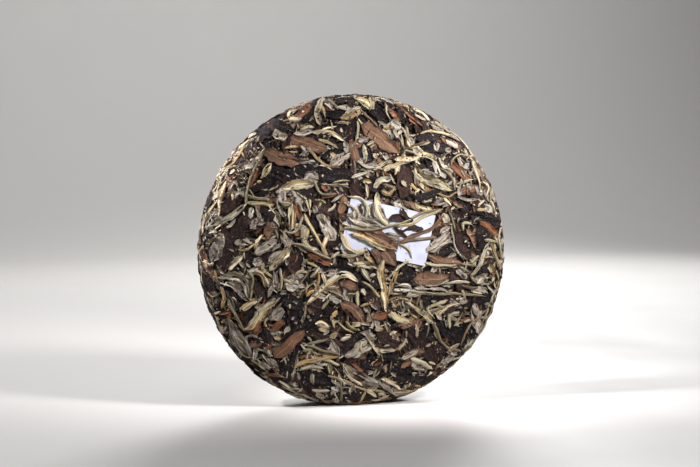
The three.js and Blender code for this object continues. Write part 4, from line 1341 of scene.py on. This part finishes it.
class TEA_OT_buds(KindOperator, bpy.types.Operator):
    """Lay the pale buds and the curled cream, olive and gold strips"""
    bl_idname = "tea.buds"
    bl_label = "Buds and Strips"
    part = "buds_and_strips"
    material = staticmethod(bud_material)


class TEA_OT_stems(KindOperator, bpy.types.Operator):
    """Lay the stems, those that hold the ticket among them"""
    bl_idname = "tea.stems"
    bl_label = "Stems"
    part = "stems"
    material = staticmethod(stem_material)


class TEA_OT_slivers(KindOperator, bpy.types.Operator):
    """Lay the thin broken pieces that fill the hollows between the leaves"""
    bl_idname = "tea.slivers"
    bl_label = "Slivers"
    part = "slivers"
    material = staticmethod(crumb_material)


# The usual numbers that turn a lattice corner and a seed into a chance value
CORNER_HASH = np.array([127.1, 311.7, 74.7])
SEED_STEP = 17.3
HASH_SPREAD = 43758.5453


def value_noise(points, size, seed):
    """Smooth noise from 0 to 1 at points in millimetres, `size` millimetres from lump to lump."""
    cell = points / size
    corner = np.floor(cell)
    ease = cell - corner
    ease = ease * ease * (3 - 2 * ease)
    total = 0
    for n in range(8):
        step = np.array([n & 1, n >> 1 & 1, n >> 2 & 1])
        spot = (corner + step) @ CORNER_HASH + seed * SEED_STEP
        value = np.abs(np.sin(spot) * HASH_SPREAD) % 1
        total = total + value * np.prod(np.where(step, ease, 1 - ease), axis=-1)
    return total


# The bumps of the core as (height, size) in millimetres, the coarse ones first
CORE_BUMPS = ((0.9, 3.0), (0.5, 1.6))

# Rings from pole to pole and points round each, of the core and of the ground that crumbs lie on, and the
# height of the poles over the bed in millimetres
CORE_NET = (110, 330)
GROUND_NET = (150, 420)
POLE_HEIGHT = -0.5


def round_net(surface, height_of, rings, turns):
    """A closed net round the whole cake, its height over the bed given for each point."""
    along = np.linspace(0, surface.total, rings + 2)[1:-1, None] + np.zeros((1, turns))
    angle = np.linspace(0, math.tau, turns, endpoint=False)[None, :] + np.zeros((rings, 1))
    u, v = along * np.cos(angle), along * np.sin(angle)
    low = surface.wrap("face", u, v, np.zeros_like(u))
    points = surface.wrap("face", u, v, height_of(along, angle, low)).reshape(-1, 3)
    middle = np.array([0.0])
    poles = [surface.wrap(side, middle, middle, np.array([POLE_HEIGHT])) for side in ("face", "back")]
    points = np.concatenate([points] + poles)
    grid = np.arange(rings * turns).reshape(rings, turns)
    right = np.roll(grid, -1, axis=1)
    squares = [np.stack([grid[:-1], grid[1:], right[1:]], -1),
               np.stack([grid[:-1], right[1:], right[:-1]], -1)]
    face_pole, back_pole = rings * turns, rings * turns + 1
    caps = [np.stack([np.full(turns, face_pole), grid[0], right[0]], -1),
            np.stack([np.full(turns, back_pole), right[-1], grid[-1]], -1)]
    return points, np.concatenate([part.reshape(-1, 3) for part in squares + caps])


class TEA_OT_core(bpy.types.Operator):
    """Press the core of tea dust, coloured near black partly as painted gap shade, that shows in the gaps
    between the leaves
    """
    bl_idname = "tea.core"
    bl_label = "Core"
    bl_options = {"REGISTER", "UNDO"}

    def execute(self, context):
        inset = context.scene.tea_cake_sizes.core_inset / MM

        def bumps(along, angle, low):
            parts = [high * value_noise(low, size, n) for n, (high, size) in enumerate(CORE_BUMPS, 1)]
            return sum(parts) - inset

        points, faces = round_net(layout().surface, bumps, *CORE_NET)
        thing = mesh_object("core", settle(points) * MM, faces, gap_shade_core_material())
        own(thing, "pressed_tea", "tea_cake")
        return {"FINISHED"}


class TEA_OT_ticket(bpy.types.Operator):
    """Catch the paper ticket between the leaves of the face"""
    bl_idname = "tea.ticket"
    bl_label = "Paper Ticket"
    bl_options = {"REGISTER", "UNDO"}

    def execute(self, context):
        u, v, high, low = layout().paper
        surface = layout().surface
        top = surface.wrap("face", u, v, high)
        under = surface.wrap("face", u, v, low)[1:-1, 1:-1]
        points = np.concatenate([top.reshape(-1, 3), under.reshape(-1, 3)])
        material = paper_material(context.scene.tea_colours)
        thing = mesh_object("ticket", points * MM, shell_of(*u.shape), material, sharp=50)
        own(thing, "ticket_paper", "paper_ticket")
        return {"FINISHED"}


# Where crumbs crowd on the face: x, z, how far round and how many times as many as elsewhere
CRUMB_PATCHES = (
    (-80, 42, 14, 6), (-70, 56, 10, 5), (-90, 10, 12, 4), (-42, 62, 7, 4), (8, -54, 9, 3), (-20, -76, 10, 3),
    (45, 60, 8, 3), (60, -44, 9, 3), (-88, -25, 12, 4), (30, -30, 8, 3), (0, 60, 8, 3), (75, 45, 10, 3),
)


# How many shapes of flake the crumbs are drawn from
FLAKE_SHAPES = 4

# How many crumbs lie on the rim, on broad leaves and on the ticket, against other places
RIM_CRUMBS = 1.6
BROAD_LEAF_CRUMBS = 0.1
TICKET_CRUMBS = 0.02


def crumb_density(laid, points):
    """How many crumbs lie at each point, as a weight.

    They lie in clumps and more on the rim, but hardly any on the ticket and on broad leaves.
    """
    clumps = value_noise(points, 9.0, 5) * value_noise(points, 4.0, 6)
    density = 0.05 + 5 * clumps**2
    place = points - laid.surface.origin
    front = place[:, 1] < 0
    for x, z, reach, times in CRUMB_PATCHES:
        near = np.exp(-((place[:, 0] - x) ** 2 + (place[:, 2] - z) ** 2) / reach**2)
        density = density * (1 + (times - 1) * near * front)
    rim = np.hypot(place[:, 0], place[:, 2]) > laid.face_edge
    density = density * np.where(rim, RIM_CRUMBS, 1)
    clean = front & laid.heights.clean[laid.heights.cells(place[:, 0], place[:, 2])]
    density = density * np.where(clean, BROAD_LEAF_CRUMBS, 1)
    u, v = ticket_grid(laid.ticket, 2, 2)
    corner = np.array([u[0, 0], v[0, 0]])
    sides = [np.array([u[1, 0], v[1, 0]]) - corner, np.array([u[0, 1], v[0, 1]]) - corner]
    shares = [(place[:, [0, 2]] - corner) @ side / (side @ side) for side in sides]
    on_ticket = front & np.all([(share > 0) & (share < 1) for share in shares], axis=0)
    return np.where(on_ticket, TICKET_CRUMBS, density)


def crumb_shape(rng):
    """One small broken flake, uneven and rather flat, as a mesh of twenty faces."""
    bpy.ops.mesh.primitive_ico_sphere_add(subdivisions=1, radius=0.5)
    flake = bpy.context.object
    for corner in flake.data.vertices:
        corner.co *= rng.uniform(0.45, 1.5)
        corner.co.z *= 0.45
    return flake


def crumb_tree(flakes, material):
    """Geometry nodes that strew flakes over the surface they are given."""
    tree = bpy.data.node_groups.new("strewn_crumbs", "GeometryNodeTree")
    sockets = tree.interface
    sockets.new_socket("Geometry", in_out="INPUT", socket_type="NodeSocketGeometry")
    sockets.new_socket("Density", in_out="INPUT", socket_type="NodeSocketFloat")
    sockets.new_socket("Size", in_out="INPUT", socket_type="NodeSocketFloat")
    sockets.new_socket("Seed", in_out="INPUT", socket_type="NodeSocketInt")
    sockets.new_socket("Geometry", in_out="OUTPUT", socket_type="NodeSocketGeometry")
    given = add(tree, "NodeGroupInput").outputs
    share = add(tree, "GeometryNodeInputNamedAttribute", {"Name": "crumb_share"}, data_type="FLOAT")
    density = add(tree, "ShaderNodeMath", {0: given["Density"], 1: share.outputs[0]}, operation="MULTIPLY")
    spread = add(tree, "GeometryNodeDistributePointsOnFaces", {
        "Mesh": given["Geometry"], "Density": density.outputs[0], "Seed": given["Seed"]})
    shapes = add(tree, "GeometryNodeJoinGeometry")
    for flake in flakes:
        shape = add(tree, "GeometryNodeObjectInfo", {"Object": flake, "As Instance": True})
        tree.links.new(shape.outputs["Geometry"], shapes.inputs[0])
    spin = add(tree, "FunctionNodeRandomValue", {
        "Min": (0, 0, 0), "Max": (0.5, 0.5, math.tau), "Seed": given["Seed"]}, data_type="FLOAT_VECTOR")
    turned = add(tree, "FunctionNodeRotateRotation", {
        "Rotation": spread.outputs["Rotation"], "Rotate By": spin.outputs[0]}, rotation_space="LOCAL")
    sizes = add(tree, "FunctionNodeRandomValue", {
        "Min": (0.4, 0.2, 0.4), "Max": (2.2, 1.0, 1.0), "Seed": 7}, data_type="FLOAT_VECTOR")
    scale = add(tree, "ShaderNodeVectorMath", {
        0: sizes.outputs[0], "Scale": given["Size"]}, operation="SCALE")
    placed = add(tree, "GeometryNodeInstanceOnPoints", {
        "Points": spread.outputs["Points"], "Instance": shapes.outputs[0], "Pick Instance": True,
        "Rotation": turned.outputs[0], "Scale": scale.outputs[0]})
    tone = add(tree, "FunctionNodeRandomValue", {
        "Min": (0, 0, 0), "Max": (9, 1, 1), "Seed": 3}, data_type="FLOAT_VECTOR")
    named = add(tree, "GeometryNodeStoreNamedAttribute", {
        "Geometry": placed.outputs[0], "Name": "grain", "Value": tone.outputs[0]},
        data_type="FLOAT_VECTOR", domain="INSTANCE")
    real = add(tree, "GeometryNodeRealizeInstances", {"Geometry": named.outputs[0]})
    finished = add(tree, "GeometryNodeSetMaterial", {"Geometry": real.outputs[0], "Material": material})
    add(tree, "NodeGroupOutput", {0: finished.outputs[0]})
    return tree


class TEA_OT_crumbs(bpy.types.Operator):
    """Strew broken bits over the leaves, in their hollows and on the rim"""
    bl_idname = "tea.crumbs"
    bl_label = "Crumbs"
    bl_options = {"REGISTER", "UNDO"}

    def execute(self, context):
        leaves = context.scene.tea_leaf_sizes
        laid = layout()
        surface, heights = laid.surface, laid.heights

        def top_of_tea(along, angle, low):
            face = heights.read("face", along * np.cos(angle), along * np.sin(angle))
            rest = surface.total - along
            back = heights.read("back", -rest * np.cos(angle), rest * np.sin(angle))
            return np.where(along < surface.total / 2, face, back)

        points, faces = round_net(surface, top_of_tea, *GROUND_NET)
        ground = mesh_object("crumb_ground", settle(points) * MM, faces, gap_shade_core_material())
        density = crumb_density(laid, points)
        share = ground.data.attributes.new("crumb_share", "FLOAT", "POINT")
        share.data.foreach_set("value", (density / density.mean()).astype(np.float32))
        rng = np.random.default_rng(SEED + 1)
        flakes = [crumb_shape(rng) for _ in range(FLAKE_SHAPES)]
        tree = crumb_tree(flakes, crumb_material(context.scene.tea_colours))
        area = sum(face.area for face in ground.data.polygons)
        values = {"Density": leaves.crumbs / area, "Size": leaves.crumb_size, "Seed": SEED}
        modifier = ground.modifiers.new("crumbs", "NODES")
        modifier.node_group = tree
        for socket in tree.interface.items_tree:
            if socket.in_out == "INPUT" and socket.name in values:
                modifier[socket.identifier] = values[socket.name]
        evaluated = ground.evaluated_get(context.evaluated_depsgraph_get())
        mesh = bpy.data.meshes.new_from_object(evaluated)
        ground.modifiers.clear()
        for helper in flakes + [ground]:
            bpy.data.objects.remove(helper)
        if not len(mesh.polygons):
            raise RuntimeError("no crumb was made")
        mesh.name = "crumbs"
        points = np.empty(len(mesh.vertices) * 3, np.float32)
        mesh.vertices.foreach_get("co", points)
        points = settle(points.reshape(-1, 3) / MM) * MM
        mesh.vertices.foreach_set("co", points.ravel())
        thing = bpy.data.objects.new("crumbs", mesh)
        context.scene.collection.objects.link(thing)
        own(thing, "pressed_tea", "tea_cake")
        return {"FINISHED"}


# ---------------------------------------------------------------- the stage

def light(name, kind, place, target, power, tint, **settings):
    """A lamp at a place in metres that shines at a target, its power in watts."""
    data = bpy.data.lights.new(name, kind)
    for key, value in settings.items():
        setattr(data, key, value)
    data.energy = power
    data.color = shade(tint)
    lamp = bpy.data.objects.new(name, data)
    lamp.location = place
    lamp.rotation_euler = (Vector(target) - Vector(place)).to_track_quat("-Z", "Y").to_euler()
    lamp.visible_camera = False
    bpy.context.scene.collection.objects.link(lamp)


def sweep(half_width, front, bend, bend_radius, top):
    """A floor that curves up into a backdrop behind the cake, as points and faces in metres."""
    turn = np.linspace(0, math.pi / 2, 24)
    y = np.concatenate([[-front], bend + bend_radius * np.sin(turn), [bend + bend_radius]])
    z = np.concatenate([[0], bend_radius * (1 - np.cos(turn)), [top]])
    rows = len(y)
    points = np.array([[x, y[i], z[i]] for x in (-half_width, half_width) for i in range(rows)])
    faces = np.array([[i, i + rows, i + 1 + rows, i + 1] for i in range(rows - 1)])
    return points, faces


class TEA_OT_stage(bpy.types.Operator):
    """Set the pale floor, the soft lights and the camera"""
    bl_idname = "tea.stage"
    bl_label = "Stage"
    bl_options = {"REGISTER", "UNDO"}

    def execute(self, context):
        stage = context.scene.tea_stage_sizes
        net = sweep(half_width=4, front=3, bend=1.2, bend_radius=0.9, top=3.5)
        mesh_object("floor", *net, floor_material(context.scene.tea_colours))
        self.make_lights(context)
        aim = Vector((stage.aim_across, 0, stage.aim_up))
        data = bpy.data.cameras.new("camera")
        data.lens = stage.lens
        data.sensor_width = 36
        data.clip_start = 0.02
        camera = bpy.data.objects.new("camera", data)
        camera.location = (
            math.sin(stage.azimuth) * stage.distance, -math.cos(stage.azimuth) * stage.distance, stage.height)
        camera.rotation_euler = (aim - camera.location).to_track_quat("-Z", "Y").to_euler()
        context.scene.collection.objects.link(camera)
        context.scene.camera = camera
        return {"FINISHED"}

    @staticmethod
    def make_lights(context):
        """Two near spots, from the upper right and on the left rim, and wide soft light for the rest."""
        light("key", "SPOT", (0.27, -0.24, 0.37), (0.035, 0, 0.13), 19, "#fffdfc",
              spot_size=math.radians(38), spot_blend=1.0, shadow_soft_size=0.05)
        light("left_rim", "SPOT", (-0.42, -0.02, 0.44), (-0.1, 0, 0.16), 38, "#fdf8fa",
              spot_size=math.radians(21), spot_blend=1.0, shadow_soft_size=0.03)
        light("overhead", "AREA", (-0.2, -0.2, 1.4), (0, 0, 0), 10, "#fafaff", shape="SQUARE", size=1.0)
        light("behind", "AREA", (0.7, 1.5, 1.0), (0, 0, 0.1), 10, "#ffffff", shape="SQUARE", size=0.8,
              spread=math.radians(95))
        light("backdrop", "AREA", (0, 0.9, 1.8), (0, 2.0, 0.5), 26, "#ffffff", shape="RECTANGLE",
              size=2.4, size_y=0.6)
        world = bpy.data.worlds.new("soft_surround")
        world.use_nodes = True
        surround = world.node_tree.nodes["Background"].inputs
        surround["Color"].default_value = colour("#e8e8ea")
        surround["Strength"].default_value = 0.045
        context.scene.world = world
        context.scene.view_settings.view_transform = "Standard"


# ---------------------------------------------------------------- the add-on

STEPS = (
    "core", "dark_leaves", "plum_leaves", "brown_leaves", "silver_leaves", "buds", "stems", "slivers",
    "ticket", "crumbs", "stage",
)


class TEA_PT_panel(bpy.types.Panel):
    """The steps of the tea cake, in order"""
    bl_idname = "TEA_PT_panel"
    bl_label = "Tea Cake"
    bl_space_type = "VIEW_3D"
    bl_region_type = "UI"
    bl_category = "Tea Cake"

    def draw(self, context):
        for step in STEPS:
            self.layout.operator(f"tea.{step}")
        for group in SETTINGS:
            box = self.layout.box()
            for name in SETTINGS[group].__annotations__:
                box.prop(getattr(context.scene, group), name)


SETTINGS = {
    "tea_cake_sizes": CakeSizes,
    "tea_leaf_sizes": LeafSizes,
    "tea_ticket_sizes": TicketSizes,
    "tea_colours": TeaColours,
    "tea_stage_sizes": StageSizes,
}

OPERATORS = (
    TEA_OT_core, TEA_OT_dark_leaves, TEA_OT_plum_leaves, TEA_OT_brown_leaves, TEA_OT_silver_leaves,
    TEA_OT_buds, TEA_OT_stems, TEA_OT_slivers, TEA_OT_ticket, TEA_OT_crumbs, TEA_OT_stage,
)


def register():
    for kind in (*SETTINGS.values(), *OPERATORS, TEA_PT_panel):
        bpy.utils.register_class(kind)
    for name, kind in SETTINGS.items():
        setattr(bpy.types.Scene, name, bpy.props.PointerProperty(type=kind))


def unregister():
    for name in SETTINGS:
        delattr(bpy.types.Scene, name)
    for kind in reversed((*SETTINGS.values(), *OPERATORS, TEA_PT_panel)):
        bpy.utils.unregister_class(kind)


def main():
    register()
    for step in STEPS:
        getattr(bpy.ops.tea, step)()


if __name__ == "__main__":
    main()
